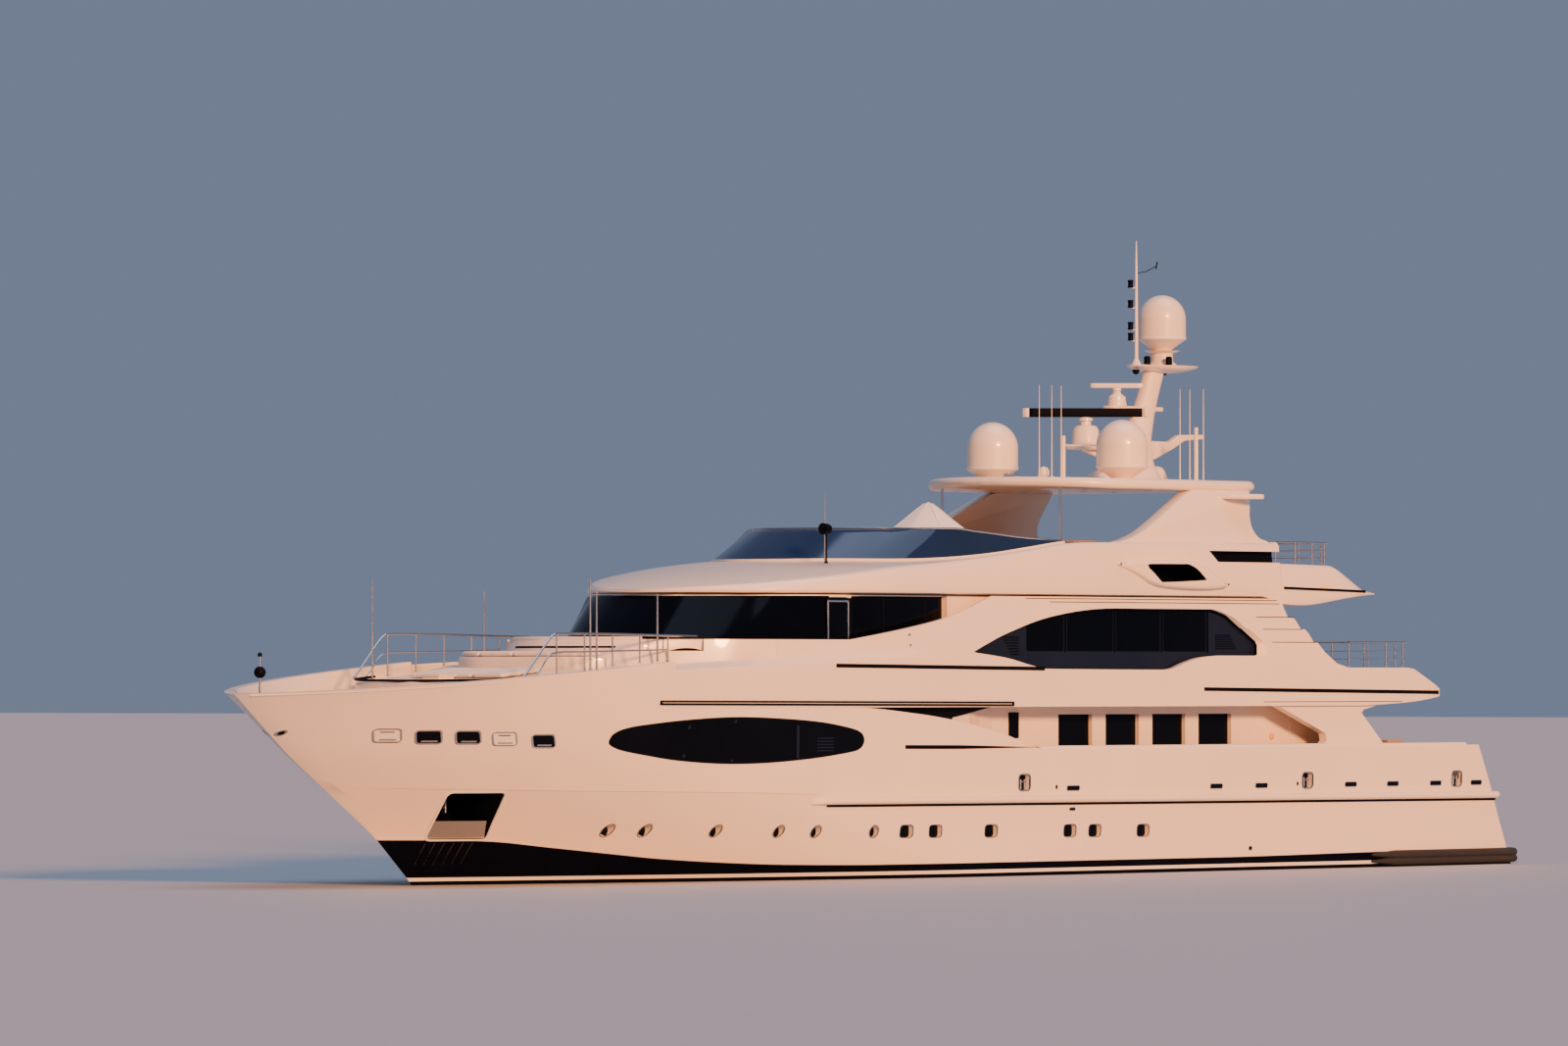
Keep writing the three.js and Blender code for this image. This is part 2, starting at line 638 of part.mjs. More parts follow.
add('sky_lounge', skyLounge(), 'paint');
addPair('sky_lounge_glass', windowPlate(LOUNGE_WINDOWS, LOUNGE_HALF - HOUSE_WALL - GAP), 'glass');
addPair('sky_lounge_door', doorLeaf(LOUNGE_AFT_X - CLEAR, UPPER_FLOOR_Z + 0.03, 7.1), 'glass');

// Bridge house: raked round front, a window band all round, doors on both sides
const BRIDGE_LOW = [[10.3, 0], [10.15, 1.0], [9.6, 1.95], [8.8, 2.8], [7.9, 3.4], [6.8, 3.75],
  [5.6, BRIDGE_HALF], [1.1, BRIDGE_HALF]];
const BRIDGE_RAKE = 1.5;
const BRIDGE_BAND = { low: 5.75, high: 7.3 };

// The bridge's outline at one height, set in by a wall thickness
// Side doorways of the bridge
const BRIDGE_DOORWAY = { aft: 5.08, fore: 5.98 };

function bridgeRing(z, by) {
  const share = Math.max(0, (z - BRIDGE_BAND.low) / (UPPER_WALL_TOP_Z - BRIDGE_BAND.low));
  const side = BRIDGE_LOW.map(([x, y]) => [
    x - BRIDGE_RAKE * share * Math.min(1, Math.max(0, (x - 5.6) / 3.2)), y]);
  return bothSides(roomOutline(side, by)).map(([x, y]) => [x, y, z]);
}

function bridgeShell(low, high, by) {
  const heights = low < BRIDGE_BAND.low ? [low, BRIDGE_BAND.low, high] : [low, high];
  return ringLoft(heights.map((z) => bridgeRing(z, by)));
}

function bridgeHouse() {
  const outer = bridgeShell(UPPER_FLOOR_Z + GAP, UPPER_WALL_TOP_Z, 0);
  const room = bridgeShell(UPPER_FLOOR_Z + 0.1, UPPER_WALL_TOP_Z - 0.06, HOUSE_WALL);
  const band = cut(bridgeShell(BRIDGE_BAND.low + 0.02, BRIDGE_BAND.high, -0.3),
    box([0, 1.4], [-6, 6], [4, 9]));
  const postX = [3.2, BRIDGE_DOORWAY.aft - 0.06, BRIDGE_DOORWAY.fore + 0.06, 7.8];
  const posts = postX.map((x) => box([x - 0.06, x + 0.06], [-6, 6], [4, 9]));
  const mullions = [-1.3, 0, 1.3].map((y) => box([7, 12], [y - 0.05, y + 0.05], [4, 9]));
  const doorway = box([BRIDGE_DOORWAY.aft, BRIDGE_DOORWAY.fore], [-6, 6], [UPPER_FLOOR_Z + 0.12, 7.2]);
  const aftDoorway = box([0, 2], [-0.5, 0.5], [UPPER_FLOOR_Z + 0.12, 7.0]);
  return cut(outer, room, cut(band, ...posts, ...mullions), doorway, aftDoorway);
}

add('bridge_house', bridgeHouse(), 'paint');

function bridgeGlass() {
  const by = HOUSE_WALL + 0.02;
  const outer = bridgeShell(BRIDGE_BAND.low - 0.08, UPPER_WALL_TOP_Z - 0.07, by);
  const inner = bridgeShell(4, 9, by + 3 * GLASS);
  const aft = box([0, 1.5], [-6, 6], [4, 9]);
  const doorway = box([BRIDGE_DOORWAY.aft - 0.04, BRIDGE_DOORWAY.fore + 0.04], [-6, 6], [5, 7.1]);
  return cut(outer, inner, aft, doorway);
}

add('bridge_glass', bridgeGlass(), 'glass');

function bridgeDoor() {
  const y = BRIDGE_HALF + CLEAR;
  const { aft, fore } = BRIDGE_DOORWAY;
  const leaf = box([aft - 0.1, fore + 0.1], [y, y + 0.05], [UPPER_FLOOR_Z + 0.03, 7.28]);
  const handle = box([fore - 0.13, fore - 0.07], [y + 0.045, y + 0.1], [5.8, 6.2]);
  return join(leaf, handle);
}

addPair('bridge_door', bridgeDoor(), 'glass');

// Sundeck: brow, crowned roof, coaming and aft overhang round a well
const SUNDECK_STATIONS = [
  // x, half-breadth, underside, top of the side, and how far the top is crowned
  { x: -18.1, half: 4.08, under: 7.5, top: 7.62, crown: 0 },
  { x: -16.8, half: 4.15, under: 7.42, top: 7.98, crown: 0 },
  { x: -16.0, half: 4.2, under: 7.41, top: 8.27, crown: 0 },
  { x: -13.6, half: SUNDECK_HALF, under: SUNDECK_UNDER_Z, top: 8.31, crown: 0 },
  { x: -13.55, half: SUNDECK_HALF, under: SUNDECK_UNDER_Z, top: 8.86, crown: 0 },
  { x: -6, half: SUNDECK_HALF, under: SUNDECK_UNDER_Z, top: 8.83, crown: 0 },
  { x: -2, half: SUNDECK_HALF, under: SUNDECK_UNDER_Z, top: 8.45, crown: 0 },
  { x: 1, half: SUNDECK_HALF, under: SUNDECK_UNDER_Z, top: 8.34, crown: 0.1 },
  { x: 3, half: SUNDECK_HALF, under: SUNDECK_UNDER_Z, top: 8.3, crown: 0.3 },
  { x: 4.8, half: 4.2, under: SUNDECK_UNDER_Z, top: 8.2, crown: 0.35 },
  { x: 6, half: 3.95, under: SUNDECK_UNDER_Z, top: 8.05, crown: 0.3 },
  { x: 7, half: 3.2, under: SUNDECK_UNDER_Z, top: 7.92, crown: 0.22 },
  { x: 7.9, half: 2.3, under: SUNDECK_UNDER_Z, top: 7.76, crown: 0.14 },
  { x: 8.5, half: 1.4, under: SUNDECK_UNDER_Z, top: 7.6, crown: 0.06 },
  { x: 8.9, half: 0.5, under: SUNDECK_UNDER_Z, top: 7.48, crown: 0 },
];
const SCREEN_LOW = [[4.25, 0], [3.9, 1.3], [3.1, 2.25], [2.1, 2.95], [0.95, 3.45], [-0.6, 3.7], [-4.3, 3.78]];
const SCREEN_TOP_Z = 9.14;

// How far in the side slots go
const SLOT_FLOOR_Y = 4.0;

function sundeck() {
  const stations = SUNDECK_STATIONS.map(({ x, half, under, top, crown }) => {
    const lip = Math.min(0.12, (top - under) * 0.4);
    const side = top - crown;
    return [[x, 0, under], [x, half - 0.12, under], [x, half, under + lip * 0.5], [x, half - 0.1, side - lip],
      [x, Math.max(0.1, half - 0.35), side], [x, Math.max(0.05, half * 0.55), top - crown * 0.35]];
  });
  const wellSide = insetOutline(SCREEN_LOW, 0.35).map(([x, y]) => [x, Math.min(y, SUNDECK_WELL_HALF - 0.3)]);
  const well = planPlate(bothSides([...wellSide.slice(0, -1), [-3, SUNDECK_WELL_HALF - 0.25],
    [-6, SUNDECK_WELL_HALF], [-16.2, SUNDECK_WELL_HALF], [-17.0, 3.3], [-17.2, 0]]), SUNDECK_FLOOR_Z, 10);
  const slot = sidePlate([[-10.3, 8.62], [-10.65, 8.34], [-13.9, 8.34], [-13.9, 8.62]], SLOT_FLOOR_Y, 6);
  return cut(symmetricLoft(stations), well, slot, mirrored(slot));
}

add('sundeck', sundeck(), 'paint');

// Height of the sundeck's roof and coaming at a place on it
function roofZ(x, y) {
  const at = (key) => lineThrough(SUNDECK_STATIONS.map((station) => [station.x, station[key]]), x);
  const [half, top, crown] = [at('half'), at('top'), at('crown')];
  const share = Math.min(1, Math.max(0, (y - half * 0.55) / (half * 0.45 - 0.35)));
  return top - crown * (0.35 + 0.65 * share);
}

// A thin wall that follows an outline from port aft, round the front, to starboard aft
function wallStrip(outer, inner, lowZ, highZ) {
  const [outside, inside] = [outer, inner].map((side) => [
    ...[...side].reverse(), ...side.slice(1).map(([x, y, lean]) => [x, -y, lean])]);
  return ringLoft(outside.map(([x, y, lean], i) => {
    const [ix, iy] = inside[i];
    const [low, high] = [lowZ(x, Math.abs(y)), highZ(x)];
    const pull = Math.sign(y) * 0.1;
    return [[x, y, low], [x - lean, y - pull, high], [ix - lean, iy - pull, high], [ix, iy, low]];
  }));
}

// Tinted windscreen round the front of the sundeck, leaning inward
function windscreen() {
  const lean = (x) => 1.55 * Math.min(1, Math.max(0, (x + 0.6) / 3.5));
  const outer = SCREEN_LOW.map(([x, y]) => [x, y, lean(x)]);
  return wallStrip(outer, insetOutline(SCREEN_LOW, 0.05), (x, y) => roofZ(x, y) + 0.07,
    (x) => lineThrough([[-4.3, 8.86], [-1, 9.02], [0.6, SCREEN_TOP_Z]], x));
}

add('sundeck_windscreen', windscreen(), 'screen');

// Radar arch: two leaning fins that carry the hardtop
const FIN_OUTLINE = [
  // x, z, and y of the outer face
  { x: -6.5, z: 8.87, y: 3.98 },
  { x: -8.1, z: 9.35, y: 3.84 },
  { x: -9.7, z: 10.05, y: 3.62 },
  { x: -10.3, z: HARDTOP_Z - GAP, y: 3.55 },
  { x: -13.0, z: HARDTOP_Z - GAP, y: 3.55 },
  { x: -12.7, z: 9.3, y: 3.86 },
  { x: -13.4, z: 8.88, y: 3.98 },
];

function archFin() {
  const outer = FIN_OUTLINE.map(({ x, z, y }) => [x, y, z]);
  const inner = FIN_OUTLINE.map(({ x, z, y }) => [x, y - 0.36, z]);
  const positions = [...outer, ...inner].flat();
  const shape = FIN_OUTLINE.map(({ x, z }) => new THREE.Vector2(x, z));
  const faces = THREE.ShapeUtils.triangulateShape(shape, []);
  const count = FIN_OUTLINE.length;
  const index = [];
  for (const [a, b, c] of faces) {
    index.push(a, b, c, a + count, c + count, b + count);
  }
  const turn = THREE.ShapeUtils.area(shape) > 0;
  for (let i = 0; i < count; i += 1) {
    const next = (i + 1) % count;
    const loop = turn ? [i, i + count, next + count, i, next + count, next]
      : [i, next + count, i + count, i, next, next + count];
    index.push(...loop);
  }
  const geometry = new THREE.BufferGeometry();
  geometry.setAttribute('position', new THREE.Float32BufferAttribute(positions, 3));
  geometry.setIndex(index);
  return outward(geometry);
}

function winglet() {
  return planPlate([[-11.6, 3.5], [-11.9, 3.95], [-12.7, 4.2], [-12.95, 4.15], [-12.6, 3.5]], HARDTOP_Z - 0.2,
    HARDTOP_Z - 0.06);
}

addPair('arch_fin', join(archFin(), winglet()), 'paint');

function hardtop() {
  const side = [[-5.7, 0], [-5.85, 1.2], [-6.5, 2.4], [-7.4, 3.15], [-8.6, HARDTOP_HALF],
    [-13.1, HARDTOP_HALF + 0.1], [-13.5, 3.2], [-13.5, 0]];
  return planPlate(bothSides(side), HARDTOP_Z, HARDTOP_TOP_Z);
}

add('hardtop', hardtop(), 'paint');

// Satellite domes on conical feet
function dome(x, y, z, radius) {
  const body = [[0, 0], [radius * 0.5, 0], [radius * 0.55, 0.04], [radius * 0.98, 0.24], [radius, 0.3],
    [radius, 0.36 + radius * 0.75]];
  const crown = [15, 35, 55, 75, 90].map((degrees) => {
    const angle = THREE.MathUtils.degToRad(degrees);
    return [degrees === 90 ? 0 : radius * Math.cos(angle), 0.36 + radius * (0.75 + 0.95 * Math.sin(angle))];
  });
  return turned([...body, ...crown], [x, y, z], 20);
}

addPair('satellite_dome', dome(DOME_X, DOME_Y, HARDTOP_TOP_Z + GAP, 0.66), 'paint');

// Mast: raked column with shelves for the scanners and the upper dome
const MAST_COLUMN = [
  // z, centre x, half length, half width
  { z: HARDTOP_TOP_Z + GAP, x: -12.0, long: 1.55, wide: 0.62 },
  { z: 10.95, x: -12.25, long: 1.05, wide: 0.42 },
  { z: 11.6, x: -12.55, long: 0.55, wide: 0.3 },
  { z: 12.6, x: -12.98, long: 0.36, wide: 0.24 },
  { z: MAST_TOP_Z, x: -13.45, long: 0.34, wide: 0.22 },
];

function mast() {
  const rings = MAST_COLUMN.map(({ z, x, long, wide }) => [[x + long, 0.25 * wide, z],
    [x + long * 0.5, wide, z], [x - long * 0.7, wide, z], [x - long, 0.4 * wide, z],
    [x - long, -0.4 * wide, z], [x - long * 0.7, -wide, z], [x + long * 0.5, -wide, z],
    [x + long, -0.25 * wide, z]]);
  const column = ringLoft(rings);
  const lowerShelf = planPlate([[-9.7, 0.3], [-12.4, 0.25], [-12.4, -0.25], [-9.7, -0.3]], 11.42, 11.56);
  const upperShelf = planPlate([[-11.35, 0.24], [-12.9, 0.2], [-12.9, -0.2], [-11.35, -0.24]], 12.56, 12.66);
  const topShelf = planPlate([[-12.2, 0.3], [-12.8, 0.75], [-14.9, 0.75], [-15.44, 0.3], [-15.44, -0.3],
    [-14.9, -0.75], [-12.8, -0.75], [-12.2, -0.3]], MAST_TOP_Z - 0.02, MAST_TOP_Z + 0.1);
  const aftArm = planPlate([[-12.9, 0.12], [-15.7, 0.1], [-15.7, -0.1], [-12.9, -0.12]], 11.5, 11.62);
  const neck = turned([[0, 0], [0.42, 0], [0.3, 0.12], [0.3, 0.36], [0.5, 0.42], [0, 0.42]],
    [-13.8, 0, MAST_TOP_Z + 0.08], 16);
  const lowerBase = turned([[0, 0], [0.3, 0], [0.3, 0.5], [0.14, 0.56], [0.14, 0.66], [0, 0.66]],
    [LOWER_RADAR_X, 0, 11.54], 12);
  const upperBase = turned([[0, 0], [0.2, 0], [0.2, 0.3], [0.1, 0.34], [0.1, 0.42], [0, 0.42]],
    [UPPER_RADAR_X, 0, 12.64], 12);
  return join(column, lowerShelf, upperShelf, topShelf, aftArm, neck, lowerBase, upperBase);
}

add('mast', mast(), 'paint');
add('mast_dome', dome(-13.8, 0, MAST_TOP_Z + 0.08 + 0.42 + GAP, 0.62), 'paint');

// Scanner bars, set square to the view they are seen from, each on its vertical turning axis
const SCANNER_YAW = THREE.MathUtils.degToRad(128.5);

function scanner(reach, tall, deep, foot) {
  const body = box([-reach, reach], [-deep, deep], [foot, foot + tall]);
  const neck = turned([[0, 0], [0.12, 0], [0.12, foot + 0.02], [0, foot + 0.02]], [0, 0, 0], 12);
  return join(body, neck).rotateZ(SCANNER_YAW);
}

add('lower_scanner', scanner(LOWER_RADAR_REACH, 0.2, 0.11, 0.1)
  .translate(LOWER_RADAR_X, 0, 11.54 + 0.66 + 0.012), 'dark');
add('upper_scanner', scanner(UPPER_RADAR_REACH, 0.13, 0.08, 0.06)
  .translate(UPPER_RADAR_X, 0, 12.64 + 0.42 + 0.012), 'paint');

// Aerial mast with its signal lights
function aerial() {
  const base = MAST_TOP_Z + 0.1 + GAP;
  const foot = turned([[0, 0], [0.1, 0], [0.1, 0.06], [0, 0.06]], [-12.62, 0, base], 8);
  const pole = bar([-12.62, 0, base], [-12.62, 0, 17.18], 0.035);
  const lights = [14.3, 15.3, 16.0].map((z) => turned([[0, 0], [0.09, 0], [0.09, 0.34], [0, 0.34]],
    [-12.62, 0, z], 8));
  const vane = bar([-12.62, 0, 16.45], [-13.5, 0, 16.55], 0.025);
  return join(foot, pole, ...lights, vane);
}

add('aerial_mast', aerial(), 'paint');

// Guard rails: posts, a top rail and a middle rail
const RAIL_R = 0.03;

function railing(feet, tops, mids) {
  const bars = feet.map((foot, i) => bar(foot, tops[i], RAIL_R * 1.1, 6));
  for (let i = 0; i + 1 < tops.length; i += 1) {
    const drop = ([x, y, z]) => [x, y, z - RAIL_R * 1.3];
    bars.push(bar(drop(tops[i]), drop(tops[i + 1]), RAIL_R, 6));
    for (const mid of mids) {
      const at = (k) => tops[k].map((v, axis) => feet[k][axis] + (v - feet[k][axis]) * mid);
      bars.push(bar(at(i), at(i + 1), RAIL_R * 0.7, 4));
    }
  }
  return join(...bars);
}

function deckRail(points, low, high) {
  const feet = points.map(([x, y]) => [x, y, low]);
  const tops = points.map(([x, y]) => [x, y, high]);
  return railing(feet, tops, [0.5]);
}

function foredeckRail() {
  const xs = [16.9, 15.7, 14.4, 13.1];
  const feet = xs.map((x) => [x, TRUNK_RAIL_Y, trunkTopZ(x) + 6 * GAP]);
  const tops = [[15.9, TRUNK_RAIL_Y, 6.2], ...xs.slice(1).map((x) => [x, TRUNK_RAIL_Y, 6.33])];
  return join(railing(feet, tops, [0.5]), bar(tops[3], [10.95, TRUNK_RAIL_Y, 6.33], RAIL_R, 6));
}

function roundRail(points, low, high) {
  return deckRail([...points, ...points.map(([x, y]) => [x, -y]).reverse()], low, high);
}

const UPPER_RAIL = [[-16.6, 4.32], [-18.0, 4.32], [-19.4, 4.2], [-19.9, 3.6], [-20.0, 1.3]];
add('upper_aft_rail', roundRail(UPPER_RAIL, UPPER_BULWARK_Z + 0.03, 6.19), 'steel');

const SUNDECK_RAIL = [[-14.3, 3.5], [-16.0, 3.6], [-16.6, 3.1], [-16.7, 1.1]];
add('sundeck_rail', roundRail(SUNDECK_RAIL, SUNDECK_FLOOR_Z + GAP, 8.94), 'steel');

// Jackstaff with its black ball
function jackstaff() {
  const foot = turned([[0, 0], [0.1, 0], [0.1, 0.05], [0, 0.05]], [23.7, 0, FOREDECK_Z + GAP], 10);
  const staff = bar([23.7, 0, FOREDECK_Z + GAP], [23.7, 0, 5.85], 0.035);
  const ball = new THREE.SphereGeometry(0.15, 12, 8).translate(23.7, 0, 5.35);
  return join(foot, staff, ball);
}

add('jackstaff', jackstaff(), 'dark');

// Foredeck trunk with the lounge seat, sunpad, hatch and lid
const TRUNK_STATIONS = [
  // x, half-breadth, height of the edge
  { x: FOREDECK_AFT_X + 0.03, half: 2.95, top: 5.58 },
  { x: 14.6, half: 2.93, top: 5.36 },
  { x: 16.0, half: 2.88, top: 5.22 },
  { x: 16.95, half: 2.7, top: 5.16 },
  { x: 17.5, half: 2.2, top: 5.13 },
  { x: 17.85, half: 1.4, top: 5.12 },
  { x: 18.0, half: 0.6, top: 5.11 },
];
const TRUNK_RAIL_Y = 2.8;
const LOUNGE = { fwd: 14.15, seat: 0.3, cushion: 0.14 };
const SEAT_TOP_Z = 5.45 + LOUNGE.seat;
const SUNPAD = { x: [14.6, 16.3], half: 1.6, thick: 0.14 };
const HATCH = { x: [16.6, 17.2], half: 0.3, coaming: 0.06, lid: 0.05 };

function trunkTopZ(x) {
  return lineThrough(TRUNK_STATIONS.map((station) => [station.x, station.top]), x);
}

function loungeSeat(by, low, high) {
  const side = insetOutline([[LOUNGE.fwd, 0], [LOUNGE.fwd - 0.1, 1.2], [13.7, 2.0],
    [FOREDECK_AFT_X + 0.2, 2.45]], by);
  return planPlate(bothSides(side), low, high);
}

function trunk() {
  const body = symmetricLoft(TRUNK_STATIONS.map(({ x, half, top }) => [[x, 0, FOREDECK_Z + GAP],
    [x, half, FOREDECK_Z + GAP], [x, half, top - 0.06], [x, half - 0.06, top]]));
  const seat = loungeSeat(0, 5.0, SEAT_TOP_Z);
  const coaming = box(HATCH.x, [-HATCH.half, HATCH.half], [5.0, hatchTopZ()]);
  return join(body, seat, coaming);
}

function hatchTopZ() {
  return trunkTopZ(HATCH.x[0]) + HATCH.coaming;
}

function hatchLid() {
  const over = 0.05;
  return box([HATCH.x[0] - over, HATCH.x[1] + over], [-HATCH.half - over, HATCH.half + over],
    [hatchTopZ() + 0.012, hatchTopZ() + 0.012 + HATCH.lid]);
}

function sunpad() {
  const [aft, fwd] = SUNPAD.x;
  const ring = (x) => {
    const z = trunkTopZ(x) + 3 * GAP;
    return [[x, -SUNPAD.half, z], [x, SUNPAD.half, z], [x, SUNPAD.half, z + SUNPAD.thick],
      [x, -SUNPAD.half, z + SUNPAD.thick]];
  };
  return ringLoft([ring(aft), ring(16.0), ring(fwd)]);
}

add('foredeck_trunk', trunk(), 'paint');
add('hatch_lid', hatchLid(), 'paint');
add('lounge_cushion', loungeSeat(0.06, SEAT_TOP_Z + GAP, SEAT_TOP_Z + LOUNGE.cushion), 'fabric');
add('sunpad', sunpad(), 'fabric');
addPair('foredeck_rail', foredeckRail(), 'steel');

function windlass() {
  const { z } = WINDLASS_DECK;
  const base = box([21.3, 22.0], [0.55, 1.05], [z + GAP, z + 0.12]);
  const motor = turned([[0, 0], [0.16, 0], [0.16, 0.3], [0.22, 0.32], [0.22, 0.4], [0.13, 0.42], [0.12, 0.6],
    [0.2, 0.64], [0.2, 0.7], [0, 0.7]], [21.65, 0.8, z + 0.1], 16);
  return join(base, motor);
}

addPair('windlass', windlass(), 'steel');

// Starboard anchor, stowed in its pocket: stopper on the wall, shank, crown and two flukes
const ANCHOR = { head: [17.6, -0.62, 2.12], crown: [17.32, -0.95, 1.36], wide: 0.38, flukeX: [17.02, 17.62] };

function anchor() {
  const [x, y, z] = ANCHOR.crown;
  const [headX, headY, headZ] = ANCHOR.head;
  const stopper = box([headX - 0.16, headX + 0.16], [headY - 0.1, -POCKET.wallY - GAP],
    [headZ - 0.13, headZ + 0.13]);
  const shank = bar(ANCHOR.head, ANCHOR.crown, 0.08, 8);
  const crown = bar([x - ANCHOR.wide, y, z], [x + ANCHOR.wide, y, z], 0.1, 8);
  const flukes = ANCHOR.flukeX.map((flukeX) => ringLoft([
    [[flukeX - 0.14, y - 0.05, z], [flukeX + 0.14, y - 0.05, z], [flukeX + 0.14, y + 0.05, z],
      [flukeX - 0.14, y + 0.05, z]],
    [[flukeX - 0.03, y - 0.4, z + 0.62], [flukeX + 0.03, y - 0.4, z + 0.62],
      [flukeX + 0.03, y - 0.36, z + 0.62], [flukeX - 0.03, y - 0.36, z + 0.62]],
  ]));
  return join(stopper, shank, crown, ...flukes);
}

add('anchor_starboard', anchor(), 'steel');

// Searchlight on a short post before the windscreen's port shoulder
function searchlight() {
  const { x, y, tall } = SEARCHLIGHT;
  const foot = roofZ(x, y - 0.06) + 0.02;
  const post = turned([[0, 0], [0.06, 0], [0.05, 0.06], [0.04, tall], [0, tall]], [x, y, foot], 10);
  const lamp = new THREE.CylinderGeometry(0.15, 0.13, 0.3, 14).rotateZ(Math.PI / 2)
    .translate(x, y, foot + tall + 0.1);
  return join(post, lamp);
}

const SEARCHLIGHT = { x: 4.4, y: 2.6, tall: 0.8 };
add('searchlight', searchlight(), 'dark');

// Spa tub under its peaked canvas cover: [radius, height above the floor]
const SPA = { x: -3.3, profile: [[0, 0], [1.5, 0], [1.55, 0.06], [1.55, 0.88], [1.62, 0.94], [0.95, 1.42],
  [0.4, 1.83], [0.06, 2.08], [0, 2.09]] };
add('spa_cover', turned(SPA.profile, [SPA.x, 0, SUNDECK_FLOOR_Z + GAP], 20), 'cover');

// Running gear: shafts in their brackets, propellers, rudders
function hullBottomZ(x, y) {
  const bulge = 1.35 + 1.6 * Math.max(0, 1 - Math.abs(x + 1) / 19);
  return keelZ(x) * (1 - (y / halfBreadth(x, 0)) ** (1 / 0.62)) ** (1 / bulge);
}

function shaftLine() {
  const slope = 0.12;
  const hubX = PROPELLER_X + 0.3;
  const along = (reach) => [hubX + reach, SHAFT_Y, PROPELLER_Z + reach * slope];
  const shaft = bar(along(0), along(8), 0.11, 10);
  const barrel = bar(along(0.02), along(0.55), 0.2, 10);
  const arms = [0.7, -0.7].map((lean) => bar(along(0.3),
    [hubX + 0.4, SHAFT_Y + lean, PROPELLER_Z + 1.5], 0.07, 6));
  const lowered = hullStations().map((station) => station.map(([x, y, z]) => [x, y, z - 2 * GAP]));
  const belowHull = symmetricLoft(lowered);
  return cut(join(shaft, barrel, ...arms), belowHull);
}

addPair('shaft_line', shaftLine(), 'steel');

const BLADE = [
  // radius, chord half-length, half-thickness
  { r: 0.1, chord: 0.15, thick: 0.04 },
  { r: 0.45, chord: 0.25, thick: 0.03 },
  { r: PROPELLER_R, chord: 0.125, thick: 0.015 },
];
const BLADE_PITCH = THREE.MathUtils.degToRad(32);

function blade(turn) {
  const rings = BLADE.map(({ r, chord, thick }) => [[-chord, 0, r], [0, thick, r], [chord, 0, r],
    [0, -thick, r]]);
  return ringLoft(rings).rotateZ(Math.PI / 2 - BLADE_PITCH).rotateX(turn);
}

function propeller() {
  const hub = new THREE.CylinderGeometry(0.19, 0.12, 0.42, 16).rotateZ(-Math.PI / 2);
  const blades = [0, 1, 2, 3, 4].map((i) => blade((i * 2 * Math.PI) / 5));
  return join(hub, ...blades).translate(PROPELLER_X, SHAFT_Y, PROPELLER_Z);
}

addPair('propeller', propeller(), 'bronze');

function rudder() {
  const [top, low] = [-0.95, -2.5];
  const ring = (z, fore, aft, thick) => [[fore, 0, z], [(fore * 2 + aft) / 3, thick, z], [aft, 0, z],
    [(fore * 2 + aft) / 3, -thick, z]];
  const blade = ringLoft([ring(low, 0.36, -0.62, 0.07), ring(top, 0.45, -0.75, 0.1)]);
  const stock = bar([0, 0, top - 0.3], [0, 0, hullBottomZ(RUDDER_X, SHAFT_Y) - 0.09], 0.09, 12);
  return join(blade, stock).translate(RUDDER_X, SHAFT_Y, 0);
}

addPair('rudder', rudder(), 'paint');

// Stabiliser fins amidships, each on its own stock
function stabiliser() {
  const ring = (reach, fore, aft, thick) => [[fore, reach, 0], [(fore * 2 + aft) / 3, reach, thick],
    [aft, reach, 0], [(fore * 2 + aft) / 3, reach, -thick]];
  const blade = ringLoft([ring(0.14, 0.5, -0.75, 0.09), ring(1.25, 0.3, -0.6, 0.05)]);
  const stock = bar([0, 0.02, 0], [0, 0.3, 0], 0.08, 12);
  return join(blade, stock).rotateX(-STABILISER_DIP).translate(FIN_X, STABILISER_ROOT.y, STABILISER_ROOT.z);
}

const STABILISER_DIP = THREE.MathUtils.degToRad(35);
const STABILISER_ROOT = { y: 3.58, z: -1.62 };
addPair('stabiliser', stabiliser(), 'paint');

export default root;
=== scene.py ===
import json
import math
import bmesh
import bpy
import numpy as np
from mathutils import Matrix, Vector


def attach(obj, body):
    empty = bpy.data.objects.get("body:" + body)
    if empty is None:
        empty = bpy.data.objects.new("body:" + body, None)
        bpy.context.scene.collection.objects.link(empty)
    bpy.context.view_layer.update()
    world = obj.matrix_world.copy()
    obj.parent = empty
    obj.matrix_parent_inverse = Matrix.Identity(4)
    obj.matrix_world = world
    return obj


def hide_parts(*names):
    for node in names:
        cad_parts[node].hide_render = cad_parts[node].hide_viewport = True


# The looks of a three-deck motor yacht, a 1:2 scale model. Shapes are given in metres of the real ship,
# +X to the bow, +Y to port and +Z up from the waterline, and MODEL turns them into metres of the model.
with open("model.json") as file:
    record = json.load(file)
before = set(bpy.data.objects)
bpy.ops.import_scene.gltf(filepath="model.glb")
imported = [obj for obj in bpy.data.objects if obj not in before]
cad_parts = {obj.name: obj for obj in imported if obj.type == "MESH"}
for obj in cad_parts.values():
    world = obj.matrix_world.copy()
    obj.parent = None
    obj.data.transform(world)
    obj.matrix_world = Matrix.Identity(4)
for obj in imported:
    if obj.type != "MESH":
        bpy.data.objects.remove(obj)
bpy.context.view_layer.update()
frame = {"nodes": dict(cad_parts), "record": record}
MODEL = 0.5

# Lines
def round_angles(count):
    """Angles evenly round a full turn."""
    return np.linspace(0, 2 * np.pi, count, endpoint=False)


